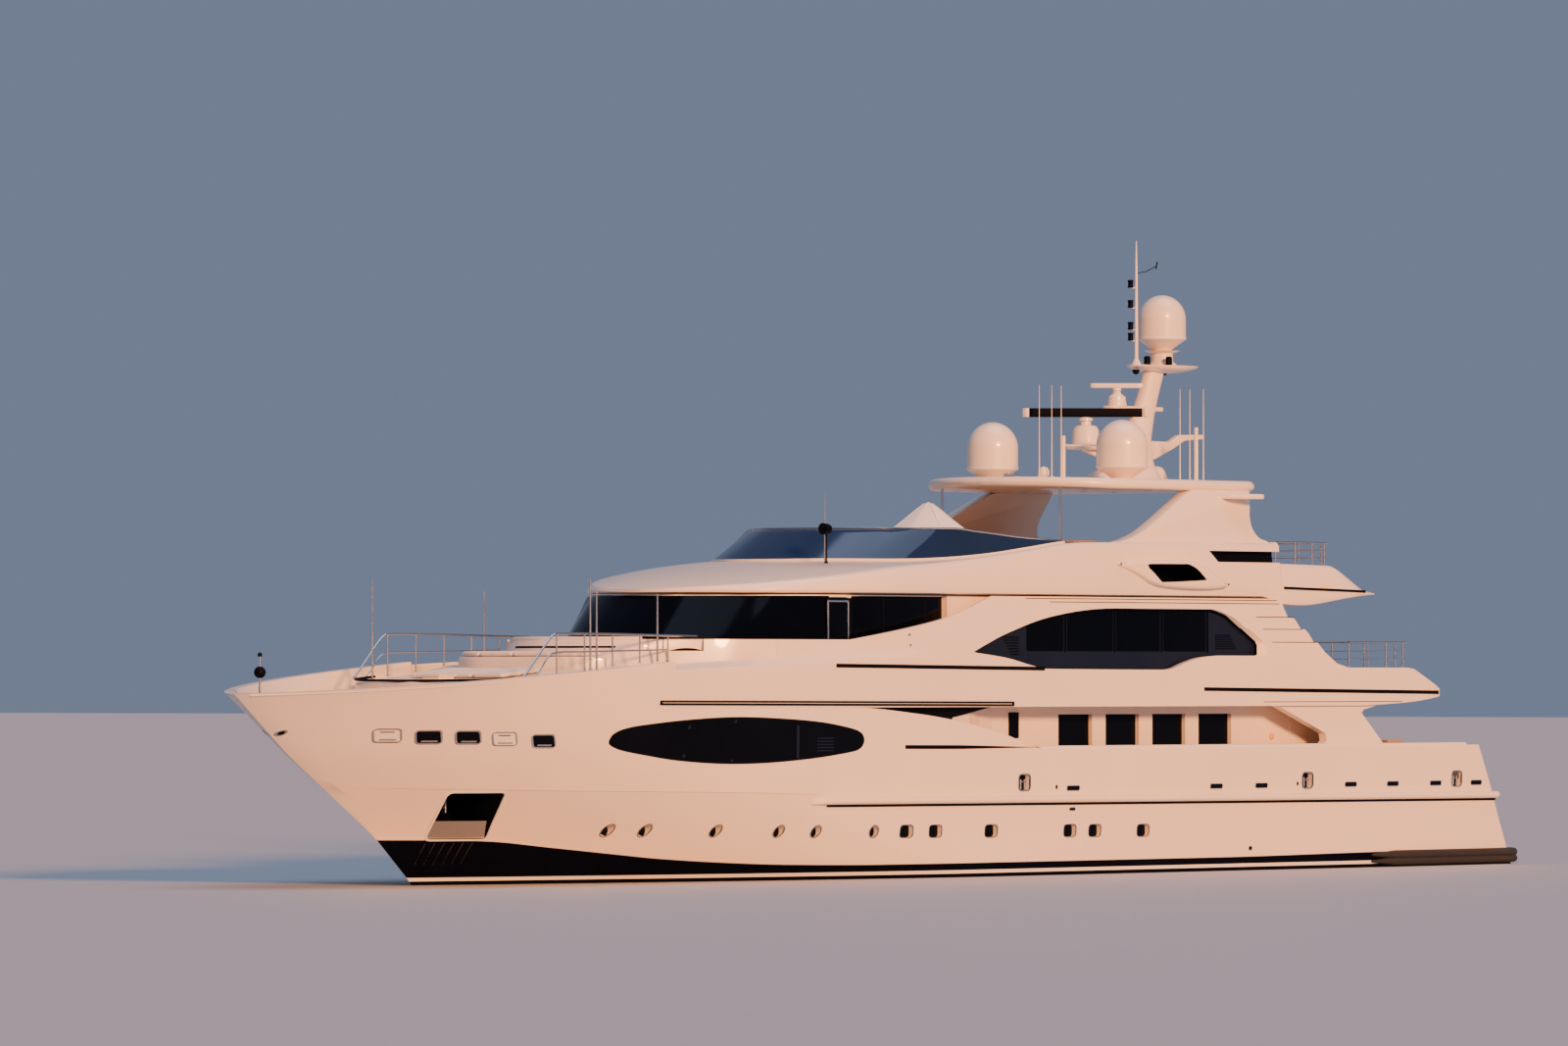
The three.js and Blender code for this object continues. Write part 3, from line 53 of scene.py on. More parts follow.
def soft(pairs, at):
    """A smooth line through [place, value] pairs: a cubic in each span, whose end slopes are the harmonic
    mean of the slopes on both sides, or none where those differ in sign, so that it never swings past its
    pairs."""
    pairs = np.array(sorted(map(tuple, pairs)), float)
    x, v = pairs[:, 0], pairs[:, 1]
    if len(x) < 3:
        return np.interp(at, x, v)
    width = np.diff(x)
    slope = np.diff(v) / width
    left, right = slope[:-1], slope[1:]
    safe = np.where(left * right > 0, left + right, 1)
    inner = np.where(left * right > 0, 2 * left * right / safe, 0)
    ends = np.concatenate([[slope[0]], inner, [slope[-1]]])
    at = np.clip(np.asarray(at, float), x[0], x[-1])
    i = np.clip(np.searchsorted(x, at, side="right") - 1, 0, len(x) - 2)
    t = (at - x[i]) / width[i]
    return (v[i] * (1 + 2 * t) * (1 - t) ** 2 + v[i + 1] * t * t * (3 - 2 * t)
            + width[i] * (ends[i] * t * (1 - t) ** 2 - ends[i + 1] * t * t * (1 - t)))


def bent(points, per=6, closed=False):
    """A smooth path through points: in each span a cubic blend of its two ends and their neighbours."""
    points = np.array(points, float)
    if closed:
        p = np.concatenate([points[-1:], points, points[:2]])
    else:
        p = np.concatenate([2 * points[:1] - points[1:2], points, 2 * points[-1:] - points[-2:-1]])
    a, b, c, d = (p[i:len(p) - 3 + i, None] for i in range(4))
    t = np.linspace(0, 1, per, endpoint=False)[None, :, None]
    line = 0.5 * (2 * b + (c - a) * t + (2 * a - 5 * b + 4 * c - d) * t ** 2
                  + (3 * b - 3 * c + d - a) * t ** 3)
    line = line.reshape(-1, points.shape[1])
    return line if closed else np.concatenate([line, points[-1:]])


def rounded(corners, radius, per=5):
    """A closed outline with its corners rounded: each becomes an arc-like blend of its two near points."""
    corners = np.array(corners, float)
    before, after = np.roll(corners, 1, 0) - corners, np.roll(corners, -1, 0) - corners
    reach = np.minimum(radius, 0.45 * np.minimum(np.linalg.norm(before, axis=1),
                                                 np.linalg.norm(after, axis=1)))
    unit = [v / np.maximum(np.linalg.norm(v, axis=1, keepdims=True), 1e-9) for v in (before, after)]
    start, end = (corners + u * reach[:, None] for u in unit)
    t = np.linspace(0, 1, per)[None, :, None]
    arc = start[:, None] * (1 - t) ** 2 + 2 * corners[:, None] * t * (1 - t) + end[:, None] * t ** 2
    return arc.reshape(-1, 2)


def oval(centre, size, power=2.0, count=24):
    """A closed oval: cosine and sine, each raised to 2 over the power, so that a high power squares it."""
    angle = round_angles(count)
    c, s = np.cos(angle), np.sin(angle)
    return np.array(centre) + np.stack([np.sign(c) * abs(c) ** (2 / power) * size[0],
                                        np.sign(s) * abs(s) ** (2 / power) * size[1]], 1)


def drawn_in(outline, by):
    """The closed outline moved inward, square to the chord between each point's neighbours."""
    chord = np.roll(outline, -1, 0) - np.roll(outline, 1, 0)
    side = np.stack([-chord[:, 1], chord[:, 0]], 1) / np.maximum(np.linalg.norm(chord, axis=1, keepdims=True),
                                                                 1e-9)
    area = np.sum(outline[:, 0] * np.roll(outline[:, 1], -1) - np.roll(outline[:, 0], -1) * outline[:, 1])
    return outline + side * by * np.sign(area)


def normals(line):
    """The direction square to a plan line at each point, from the chord between its neighbours."""
    chord = np.gradient(line, axis=0)
    return np.stack([chord[:, 1], -chord[:, 0]], 1) / np.linalg.norm(chord, axis=1, keepdims=True)


def twinned(half, shared=0, first=0, axis=0):
    """A line, or the grid's lines along an axis, and run back its mirror image, less the points that both
    share at the turn and at the start."""
    half = np.moveaxis(np.asarray(half, float), axis, 0)
    back = (half * np.array([1, -1, 1])[:half.shape[-1]])[::-1]
    return np.moveaxis(np.concatenate([half, back[shared:len(back) - first]]), 0, axis)


def grid_of(*coordinates):
    """Points from coordinates whose shapes fit each other."""
    return np.stack(np.broadcast_arrays(*coordinates), -1)


# Bodies: each is (points, faces, shade of each face)
def skin(grid, around=False, caps=False, shade=0):
    """The faces between a grid's rows and columns; around closes each row into a ring, caps fills both
    ends. The shade is one number, or one for each column of faces."""
    rows, columns = grid.shape[:2]
    number = np.arange(rows * columns).reshape(rows, columns)
    a = number if around else number[:, :-1]
    b = np.roll(number, -1, 1) if around else number[:, 1:]
    faces = np.stack([a[:-1], b[:-1], b[1:], a[1:]], -1).reshape(-1, 4).tolist()
    shades = np.broadcast_to(shade, (rows - 1, a.shape[1])).reshape(-1).tolist()
    if caps:
        faces += [number[0, ::-1].tolist(), number[-1].tolist()]
        shades += [shades[0], shades[-1]]
    return grid.reshape(-1, 3), faces, shades


def together(*bodies):
    """Several bodies as one, with the later ones' point numbers moved up."""
    points, faces, shades, start = [], [], [], 0
    for p, f, s in bodies:
        points.append(p)
        faces += [[i + start for i in face] for face in f]
        shades += s
        start += len(p)
    return np.concatenate(points), faces, shades


def thick(outer, inner):
    """A wall between two grids of the same size: both skins, and a rim round all four edges."""
    edges = [np.concatenate([grid[0, :-1], grid[:-1, -1], grid[-1, :0:-1], grid[:0:-1, 0]])
             for grid in (outer, inner)]
    return together(skin(outer), skin(inner), skin(np.stack(edges), around=True))


PLANES = {"plan": (0, 1, 2), "side": (0, 2, 1)}


def slab(outline, low, high, edge=0.0, plane="plan", shade=0):
    """The outline carried from low to high. Each rim is drawn in along a quarter circle of radius edge."""
    angle = np.linspace(0, np.pi / 2, 4) if edge else np.zeros(1)
    way = 1 if high > low else -1
    inset = edge * (1 - np.sin(angle))
    rise = way * edge * (1 - np.cos(angle))
    levels = list(zip(inset, low + rise)) + list(zip(inset[::-1], high - rise[::-1]))
    if not edge:
        levels = [(0, low), (0, high)]
    rings = [np.column_stack([drawn_in(outline, i) if i > 0 else outline, np.full(len(outline), w)])
             for i, w in levels]
    grid = np.empty((len(rings), len(outline), 3))
    grid[..., PLANES[plane]] = np.array(rings)
    return skin(grid, around=True, caps=True, shade=shade)


def block(x, y, z, edge=0.0, shade=0):
    """A box between two x, two y and two z, with rounded upright corners and rims."""
    corners = np.array([[x[0], y[0]], [x[1], y[0]], [x[1], y[1]], [x[0], y[1]]], float)
    return slab(rounded(corners, 2 * edge, 4) if edge else corners, z[0], z[1], edge, shade=shade)


def side_slab(outline, low, high, edge=0.0, shade=0):
    """A slab whose outline stands in the ship's side view, carried from one y to another."""
    return slab(outline, low, high, edge, "side", shade)


def tube(grid):
    """A closed body whose rows are rings, with both ends filled."""
    return skin(grid, around=True, caps=True)


def rod(path, radius, sides=8, across=(0, 0, 1)):
    """A round bar: at each point of the path a ring in the plane of its two normals. The first normal is
    the cross product of the path's direction with the across vector."""
    path = np.array(path, float)
    along = np.gradient(path, axis=0)
    first = np.cross(along, np.array(across, float))
    first /= np.maximum(np.linalg.norm(first, axis=1, keepdims=True), 1e-9)
    second = np.cross(along, first)
    second /= np.maximum(np.linalg.norm(second, axis=1, keepdims=True), 1e-9)
    angle = round_angles(sides)[None, :, None]
    ring = first[:, None] * np.cos(angle) + second[:, None] * np.sin(angle)
    return tube(path[:, None] + ring * np.broadcast_to(radius, len(path))[:, None, None])


def pin(x, y, heights, radius, sides=8):
    """An upright bar through the heights at one place."""
    return rod([[x, y, z] for z in heights], radius, sides, across=(1, 0, 0))


def turned(profile, centre, sides=32, axis=2):
    """A turned body: each [radius, height] of the profile is carried round the axis through the centre."""
    radius, height = np.array(profile, float).T[..., None]
    angle = round_angles(sides)
    flat = [radius * np.cos(angle), radius * np.sin(angle), height]
    order = {2: (0, 1, 2), 1: (0, 2, 1), 0: (2, 0, 1)}[axis]
    return tube(grid_of(*(flat[i] for i in order)) + np.array(centre, float))


def ball(centre, radius, sides=20):
    """A ball: half a circle turned round the upright axis."""
    angle = np.linspace(-np.pi / 2, np.pi / 2, sides // 2 + 1)
    return turned(np.column_stack([radius * np.cos(angle), radius * np.sin(angle)]), centre, sides)


def disc(radius, tall, centre, sides=14):
    """A low turned drum."""
    return turned([[0, 0], [radius, 0], [radius, tall], [0, tall]], centre, sides)


def moved(body, by=(0, 0, 0), scale=(1, 1, 1), shade=None):
    """The body scaled and then moved, with its faces turned round if the scale mirrors it."""
    points, faces, shades = body
    if np.prod(scale) < 0:
        faces = [face[::-1] for face in faces]
    shades = shades if shade is None else [shade] * len(faces)
    return points * np.array(scale, float) + np.array(by, float), faces, shades


def spun(body, angle, axis=2):
    """The body turned by an angle round one of the three axes."""
    points, faces, shades = body
    u, v = [(1, 2), (2, 0), (0, 1)][axis]
    out = points.copy()
    out[:, u] = points[:, u] * math.cos(angle) - points[:, v] * math.sin(angle)
    out[:, v] = points[:, u] * math.sin(angle) + points[:, v] * math.cos(angle)
    return out, faces, shades


def mirrored(body):
    """The other side's twin."""
    return moved(body, scale=(1, -1, 1))


def both(*bodies):
    """The bodies and their twins on the other side."""
    one = together(*bodies)
    return together(one, mirrored(one))


def section(xs, rows):
    """The grid of a side from rows of breadths and heights, each with one value for every station."""
    return np.stack([grid_of(xs, np.maximum(y, 0), z) for y, z in rows], 1)


# From bodies to pieces
def mesh_of(name, body):
    """A closed mesh in model metres: doubles merged, faces turned outward."""
    points, faces, marks = body
    mesh = bpy.data.meshes.new(name)
    mesh.from_pydata((points * MODEL).tolist(), [], faces)
    mesh.polygons.foreach_set("material_index", np.array(marks, np.int32))
    work = bmesh.new()
    work.from_mesh(mesh)
    bmesh.ops.remove_doubles(work, verts=work.verts, dist=1e-5)
    bmesh.ops.dissolve_degenerate(work, dist=2e-6, edges=work.edges)
    bmesh.ops.recalc_face_normals(work, faces=work.faces)
    work.to_mesh(mesh)
    work.free()
    return mesh


def placed(name, data):
    """A new object in the scene."""
    made = bpy.data.objects.new(name, data)
    bpy.context.scene.collection.objects.link(made)
    return made


def values_of(items, key, width=1, kind=np.int32):
    """One attribute of all of a mesh's items as an array."""
    got = np.zeros(len(items) * width, kind)
    items.foreach_get(key, got)
    return got


WORK_SHADES = [bpy.data.materials.new(f"work_shade_{i}") for i in range(6)]


def carved(body, *tools):
    """The body with each tool's volume taken off. A cut face keeps the tool's shade."""
    made = [placed(f"work_{i}", mesh_of("work", each)) for i, each in enumerate([body, *tools])]
    for each in made:
        for blank in WORK_SHADES:
            each.data.materials.append(blank)
    for tool in made[1:]:
        cut = made[0].modifiers.new("cut", "BOOLEAN")
        cut.object = tool
        cut.operation = "DIFFERENCE"
        cut.solver = "MANIFOLD"
        cut.material_mode = "INDEX"
    graph = bpy.context.evaluated_depsgraph_get()
    mesh = bpy.data.meshes.new_from_object(made[0].evaluated_get(graph))
    points = values_of(mesh.vertices, "co", 3, np.float32).reshape(-1, 3) / MODEL
    marks = values_of(mesh.polygons, "material_index").tolist()
    ends = np.cumsum(values_of(mesh.polygons, "loop_total"))[:-1]
    faces = [corners.tolist() for corners in np.split(values_of(mesh.loops, "vertex_index"), ends)]
    for each in made:
        bpy.data.meshes.remove(each.data)
    bpy.data.meshes.remove(mesh)
    return points, faces, marks


def settled(made, rides, stands_for):
    """The object on its body, in place of the CAD nodes that it stands for."""
    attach(made, rides)
    if stands_for:
        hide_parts(*stands_for)
    return made


def piece(name, body, finishes, stands_for=(), rides="ship", angle=32):
    """A finished piece: smooth where its faces meet at less than the angle, with one finish for each
    shade."""
    finishes = [finishes] if isinstance(finishes, str) else finishes
    mesh = mesh_of(name, body)
    for finish in finishes:
        mesh.materials.append(FINISHES[finish])
    mesh.shade_smooth()
    mesh.set_sharp_from_angle(angle=math.radians(angle))
    return settled(placed(name, mesh), rides, stands_for)


def twins(name, body, finishes, moves=False, angle=32):
    """The port piece and its mirror image, each for the CAD node of its side, on their own bodies if they
    move."""
    for node_name, shape in ((f"{name}_port", body), (f"{name}_starboard", mirrored(body))):
        piece(f"{node_name}_form", shape, finishes, [node_name], node_name if moves else "ship", angle)


# Finishes
def feed(made, socket, value):
    """Gives a socket a value, or a link where the value is another node's socket."""
    if isinstance(value, bpy.types.NodeSocket):
        made.node_tree.links.new(value, socket)
    else:
        socket.default_value = value


def node_of(made, kind, inputs, **settings):
    """The outputs of a new node, with its settings and with each input fed."""
    new = made.node_tree.nodes.new("ShaderNode" + kind)
    for key, value in settings.items():
        setattr(new, key, value)
    for key, value in inputs.items():
        feed(made, new.inputs[key], value)
    return new.outputs


def raised(made, height, strength, distance, invert=False):
    """The material with a relief from the height, over the one that it has already."""
    normal = made.node_tree.nodes["Principled BSDF"].inputs["Normal"]
    inputs = {"Normal": link.from_socket for link in normal.links}
    inputs.update({"Height": height, "Strength": strength, "Distance": distance})
    feed(made, normal, node_of(made, "Bump", inputs, invert=invert)["Normal"])
    return made


def finish_of(name, colour, rough, metal=0.0, coat=0.0, bump=0.0, size=4.0, shift=0.06, mottle=None,
              spread=0.08, stretch=(1, 1, 1), specular=0.5):
    """A plain finish with life in it: two octaves of noise in the piece's own space mix the colour with a
    darker one, change the gloss over a wider pattern, and raise a faint relief."""
    made = bpy.data.materials.new(name)
    made.use_nodes = True
    place = node_of(made, "TexCoord", {})["Object"]
    turn = node_of(made, "Mapping", {"Vector": place, "Scale": stretch})["Vector"]
    cloud = node_of(made, "TexNoise", {"Vector": turn, "Scale": size, "Detail": 5})["Fac"]
    wide = node_of(made, "TexNoise", {"Vector": turn, "Scale": size * 0.17, "Detail": 3})["Fac"]
    product = node_of(made, "Math", {0: cloud, 1: wide}, operation="MULTIPLY")[0]
    share = node_of(made, "MapRange", {"Value": product, "From Min": 0.12, "From Max": 0.42})["Result"]
    tint = node_of(made, "Mix", {"Factor": share, "A": (*colour, 1),
                                 "B": (*(mottle or [c * (1 - shift) for c in colour]), 1)}, data_type="RGBA")
    gloss = node_of(made, "MapRange", {"Value": wide, "To Min": max(0.02, rough - spread / 2),
                                       "To Max": rough + spread / 2})
    shader = made.node_tree.nodes["Principled BSDF"].inputs
    for key, value in {"Metallic": metal, "Coat Weight": coat, "Specular IOR Level": specular,
                       "Base Color": tint["Result"], "Roughness": gloss["Result"]}.items():
        feed(made, shader[key], value)
    return raised(made, cloud, bump, 0.01) if bump else made


def banded(made, axis, pitch, gap, colour):
    """Adds straight seams square to one axis: where the place divided by the pitch is near a whole number,
    the colour darkens and the relief drops."""
    base = made.node_tree.nodes["Principled BSDF"].inputs["Base Color"]
    place = node_of(made, "SeparateXYZ", {"Vector": node_of(made, "TexCoord", {})["Object"]})[axis]
    wave = node_of(made, "Math", {0: place, 1: pitch / 2}, operation="PINGPONG")[0]
    line = node_of(made, "MapRange", {"Value": wave, "From Min": gap * 0.5, "From Max": gap, "To Min": 1,
                                      "To Max": 0})["Result"]
    mix = node_of(made, "Mix", {"A": base.links[0].from_socket, "B": (*colour, 1), "Factor": line},
                  data_type="RGBA")
    feed(made, base, mix["Result"])
    return raised(made, line, 0.4, 0.002, invert=True)


def woven(made, scale):
    """Adds a weave: two sets of fine waves, one along X and one along Y, multiplied into a relief."""
    place = node_of(made, "TexCoord", {})["Object"]
    threads = [node_of(made, "TexWave", {"Vector": place, "Scale": scale, "Distortion": 0.4},
                       bands_direction=way)["Fac"] for way in "XY"]
    cross = node_of(made, "Math", dict(enumerate(threads)), operation="MULTIPLY")[0]
    made.node_tree.nodes["Principled BSDF"].inputs["Sheen Weight"].default_value = 0.25
    return raised(made, cross, 0.3, 0.0015)


LOOKS = {
    "paint": [(0.88, 0.74, 0.60), 0.3, {"coat": 0.35, "bump": 0.03, "size": 0.9, "shift": 0.05}],
    "stripe": [(0.84, 0.78, 0.70), 0.35, {"coat": 0.2, "size": 3}],
    "boot": [(0.001, 0.0015, 0.006), 0.6, {"size": 1.2, "mottle": (0.002, 0.003, 0.01), "specular": 0.03}],
    "teak": [(0.42, 0.27, 0.15), 0.62, {"bump": 0.25, "size": 30, "mottle": (0.30, 0.185, 0.10),
                                        "stretch": (0.12, 1, 1), "spread": 0.15}],
    "glass": [(0.001, 0.002, 0.005), 0.08, {"size": 1.5, "mottle": (0.002, 0.003, 0.008), "spread": 0.05,
                                            "specular": 0.06}],
    "navy": [(0.007, 0.012, 0.034), 0.14, {"size": 1.2, "mottle": (0.01, 0.017, 0.044), "spread": 0.06,
                                           "specular": 0.1}],
    "screen": [(0.006, 0.017, 0.062), 0.08, {"size": 0.8, "mottle": (0.009, 0.024, 0.08), "spread": 0.05,
                                             "specular": 0.35}],
    "steel": [(0.62, 0.61, 0.59), 0.2, {"metal": 1.0, "bump": 0.03, "size": 40, "spread": 0.12}],
    "bronze": [(0.46, 0.28, 0.10), 0.32, {"metal": 1.0, "bump": 0.05, "size": 25,
                                          "mottle": (0.30, 0.20, 0.09)}],
    "rubber": [(0.016, 0.016, 0.018), 0.7, {"bump": 0.15, "size": 50}],
    "cover": [(0.80, 0.77, 0.74), 0.85, {"bump": 0.12, "size": 5, "shift": 0.08}],
    "fabric": [(0.76, 0.66, 0.54), 0.9, {"bump": 0.1, "size": 6, "shift": 0.1}],
    "dark": [(0.002, 0.003, 0.007), 0.55, {"bump": 0.05, "size": 20, "spread": 0.1, "specular": 0.06}],
    "lamp": [(0.85, 0.42, 0.16), 0.4, {"size": 20}],
}
FINISHES = {name: finish_of(name, colour, rough, **rest) for name, (colour, rough, rest) in LOOKS.items()}
banded(FINISHES["teak"], "Y", 0.045, 0.0022, (0.02, 0.018, 0.016))
woven(FINISHES["cover"], 160)
woven(FINISHES["fabric"], 200)
for node in frame["record"]["subparts"]:
    carried = frame["nodes"][node["node"]]
    slot = node["material_slot"]
    carried.data.materials.clear()
    carried.data.materials.append(FINISHES["teak" if slot == "deck" else slot])


# Hull
KNUCKLE = 2.35
MAIN_DECK = 2.4
FOREDECK = 4.5
WINDLASS_DECK = 4.05
BULWARK = 3.35
STERN_BULWARK_X = -22.35
NOSE = {"low": 3.2, "high": 4.77, "back": 0.42}
STEM = {"foot": 17.94, "bend": 1.5}


def stem_x(z):
    """The stem: a parabola below the bend, then a straight rake of 1.6, and cut back under water. Over the
    nose's height it is drawn back by share^1.15."""
    foot, bend = STEM["foot"], STEM["bend"]
    low = foot + 0.92 * z + np.where(z > 0, 0.2, -0.62) * z * z
    share = np.clip((z - NOSE["low"]) / (NOSE["high"] - NOSE["low"]), 0, 1)
    high = foot + 0.92 * bend + 0.2 * bend ** 2 + 1.6 * (z - bend) - NOSE["back"] * share ** 1.15
    return np.where(z > bend, high, low)


def transom_x(z):
    return -24.76 + 0.575 * z


def half_breadth(x, z):
    """Half the hull's breadth: at three heights (1 - (1 - t)^fullness)^(1 / bluntness) of the full one,
    where t runs from 0 at the stem to 1 at the end of the bow's run, mixed straight between the heights."""
    heights = np.array([0, KNUCKLE, 5.0])
    table = {"half": [4.28, 4.45, 4.5], "run": [18, 15, 13], "fullness": [1.5, 2, 2.3],
             "bluntness": [1, 1.15, 1.3]}
    z = np.asarray(z, float)
    over = np.where(z > 5, (z - 5) / (5 - KNUCKLE), 0)
    at = {key: np.interp(z, heights, v) + over * (v[2] - v[1]) for key, v in table.items()}
    t = np.clip((stem_x(z) - x) / at["run"], 0, 1)
    stern = np.clip((-14 - np.asarray(x, float)) / 10, 0, 1)
    ledge = (0.03 * (z > knuckle_z(x) - 1e-4) * np.clip((np.asarray(x, float) - 6.4) / 1.2, 0, 1)
             * np.clip(t * 8, 0, 1))
    return (at["half"] - 0.22 * stern ** 2) * (1 - (1 - t) ** at["fullness"]) ** (1 / at["bluntness"]) + ledge


def knuckle_z(x):
    return soft([[7, 2.22], [9.8, 2.29], [13, 2.34], [17, 2.4], [20, 2.46]], x)


KEEL = [[-24.8, -0.3], [-20, -0.75], [-15, -1.5], [-9, -2.2], [-3, -2.6], [4, -2.65], [11, -2.55],
        [14, -2.25], [16, -1.5], [17.94, -0.001]]
BOOT_TOP = [[-25, 0.46], [-17.5, 0.42], [-10.4, 0.37], [3.9, 0.37], [7.2, 0.41], [8.7, 0.46], [11.2, 0.6],
            [12.85, 0.75], [14.7, 0.93], [16.5, 1.1], [18, 1.14], [19.3, 1.15]]
HULL_TOP = [[-25, BULWARK], [-2.4, BULWARK], [-0.93, 3.7], [0.97, 4.05], [2.97, 4.28], [5.66, 4.449],
            [13, 4.449]]


def sheer_z(x):
    return 4.77 + 0.81 * np.maximum(0, (stem_x(4.77) - x) / 13) ** 1.15


def hull_ring_side():
    """The port side as a grid of stations and levels. A station slides aft with height from the stem's line
    to the transom's. Below water the breadth is (1 - depth^bulge)^0.62 of the waterline's."""
    share = np.concatenate([np.linspace(0, 0.6, 40, endpoint=False),
                            np.linspace(0.6, 0.93, 56, endpoint=False),
                            np.linspace(0.93, 1, 28)])

    def place(z):
        return transom_x(z) + share * (stem_x(z) - transom_x(z))

    foot = place(np.zeros_like(share))
    depth = np.array([1, 0.97, 0.92, 0.84, 0.74, 0.62, 0.5, 0.38, 0.26, 0.14, 0.05])[:, None]
    low_z = soft(KEEL, foot) * depth
    bulge = 1.35 + 1.6 * np.maximum(0, 1 - abs(foot + 1) / 19)
    low = np.stack([place(low_z), half_breadth(foot, 0) * (1 - depth ** bulge) ** 0.62, low_z], -1)
    top = sheer_z(np.maximum(place(np.full_like(share, 4.0)), 10))
    levels, shades = [], [1] * len(depth)
    rows = [(0.0, None, 1), (0.1, None, 2), (0.19, None, 1), (0, "boot", 0)]
    rows += [(f, "lower", 0) for f in (0.12, 0.27, 0.45, 0.63, 0.82, 0.999)]
    rows += [(f, "upper", 0) for f in np.linspace(0, 1, 12)]
    for value, kind, shade in rows:
        z = np.full_like(share, 2.0)
        for _ in range(5):
            boot, knuckle = soft(BOOT_TOP, place(z)), knuckle_z(place(z))
            z = {None: np.full_like(z, value), "boot": boot, "lower": boot + (knuckle - boot) * value,
                 "upper": knuckle + (top - knuckle) * value}[kind]
        levels.append(np.stack([place(z), half_breadth(place(z), z), z], -1))
        shades.append(shade)
    return np.concatenate([low, np.array(levels)]).transpose(1, 0, 2), shades[:-1]


def across(side, shades):
    """A closed body from one side's grid: each station's ring goes up the port side and down the
    starboard."""
    body = skin(twinned(side, axis=1), around=True, caps=True,
                shade=shades + [0] + shades[::-1] + [shades[0]])
    body[2][-2:] = [0, 0]
    return body


POCKET = np.array([[18.45, 2.33], [17.0, 2.33], [16.57, 1.16], [18.12, 1.16]])
GARAGE = {"half": 2.4, "low": 0.85, "high": 2.15, "thick": 0.12, "clear": 0.024}


def transom_slab(half, low, high, inner, outer):
    """A slab that follows the transom's rake, from an inner offset to an outer one."""
    outline = np.array([[transom_x(low) + inner, low], [transom_x(high) + inner, high],
                        [transom_x(high) - outer, high], [transom_x(low) - outer, low]])
    return side_slab(outline, -half, half)


def floored_with(tool, shade):
    """The tool with another shade on its lowest face, which becomes the floor that it leaves."""
    tool[2][-2] = shade
    return tool


def flared_space(xs, heights, wall):
    """A tool open to the sky whose sides keep one wall thickness as the bow flares out above its floor."""
    rings = [twinned(grid_of(xs, np.maximum(0.03, half_breadth(xs, min(z, 5.6)) - wall), z)) for z in heights]
    return floored_with(tube(np.array(rings)), 3)


ROUND_PORTS = [[13.38, 1.35], [12.28, 1.34], [10.09, 1.31], [8.01, 1.28], [6.72, 1.26], [4.58, 1.24]]
SQUARE_PORTS = [[3.28, 1.23], [2.06, 1.22], [-0.33, 1.2], [-3.77, 1.17], [-4.87, 1.16], [-7.02, 1.14]]
MOORING_PORTS = [[-1.66, 2.46], [-14.43, 2.42], [-21.72, 2.41]]


def leant(x, z, half_x, half_z, lean=0.0, radius=0.07):
    """A rounded opening whose top leans forward."""
    return rounded([[x + half_x - lean / 2, z - half_z], [x + half_x + lean / 2, z + half_z],
                    [x - half_x + lean / 2, z + half_z], [x - half_x - lean / 2, z - half_z]], radius)


def round_port(x, z):
    return oval([x, z], [0.165, 0.15], 2, 28)


def square_port(x, z):
    return oval([x, z], [0.27, 0.16], 4.5, 36)


def mooring_port(x, z):
    return leant(x, z, 0.24, 0.2, radius=0.11)


def port_tools():
    """Recesses for the port lights and mooring ports: their walls keep the paint and their floors go
    dark: dark glass in the port lights, and painted shade in the mooring ports, which go through the bulwark."""
    tools = []
    # The mooring ports' dark floors are painted shade, standing for the opening through the bulwark.
    for places, shape, deep, floor in ((ROUND_PORTS, round_port, 0.12, 4),
                                       (SQUARE_PORTS, square_port, 0.13, 4),
                                       (MOORING_PORTS, mooring_port, 0.14, 5)):
        for place in places:
            outline = shape(*place)
            bottom = float(half_breadth(*outline.mean(0))) - deep
            tools.append(floored_with(side_slab(outline, bottom, 6), floor))
    return both(*tools)


def build_hull():
    side, shades = hull_ring_side()
    xs = np.linspace(-2.4, 12.99, 70)
    sweep = [[13, 9], [-26, 9], [-26, BULWARK]] + np.column_stack([xs, soft(HULL_TOP, xs)]).tolist()
    tools = [side_slab(np.array(sweep), -6, 6),
             flared_space(np.linspace(24.15, 12.8, 44), [FOREDECK, 4.75, 5.0, 5.3, 5.6, 9], 0.3),
             flared_space(np.linspace(22.65, 18.4, 20), [WINDLASS_DECK, 4.3, 4.53], 0.45),
             floored_with(block([STERN_BULWARK_X, 5.5], [-4.24, 4.24], [MAIN_DECK, 9]), 3)]
    tools += [side_slab(rounded(POCKET, 0.12, 5), s * 0.3, s * 6, shade=5) for s in (1, -1)]
    gap = GARAGE["clear"]
    tools += [port_tools(), transom_slab(GARAGE["half"] + gap, GARAGE["low"] - gap, GARAGE["high"] + gap,
                                         GARAGE["thick"] + gap, 2)]
    rise = (MAIN_DECK - 0.5) / 6
    for i in range(6):
        step = block([-26, STERN_BULWARK_X - 2.0 + 0.32 * i], [2.85, 3.85], [0.5 + rise * i, 6], shade=3)
        tools += [step, mirrored(step)]
    tools.append(rod([[15, -5, -1.35], [15, 5, -1.35]], 0.34, 20))
    piece("hull_form", carved(across(side, shades), *tools),
          ["paint", "boot", "stripe", "teak", "glass", "dark"], ["hull"], angle=24)


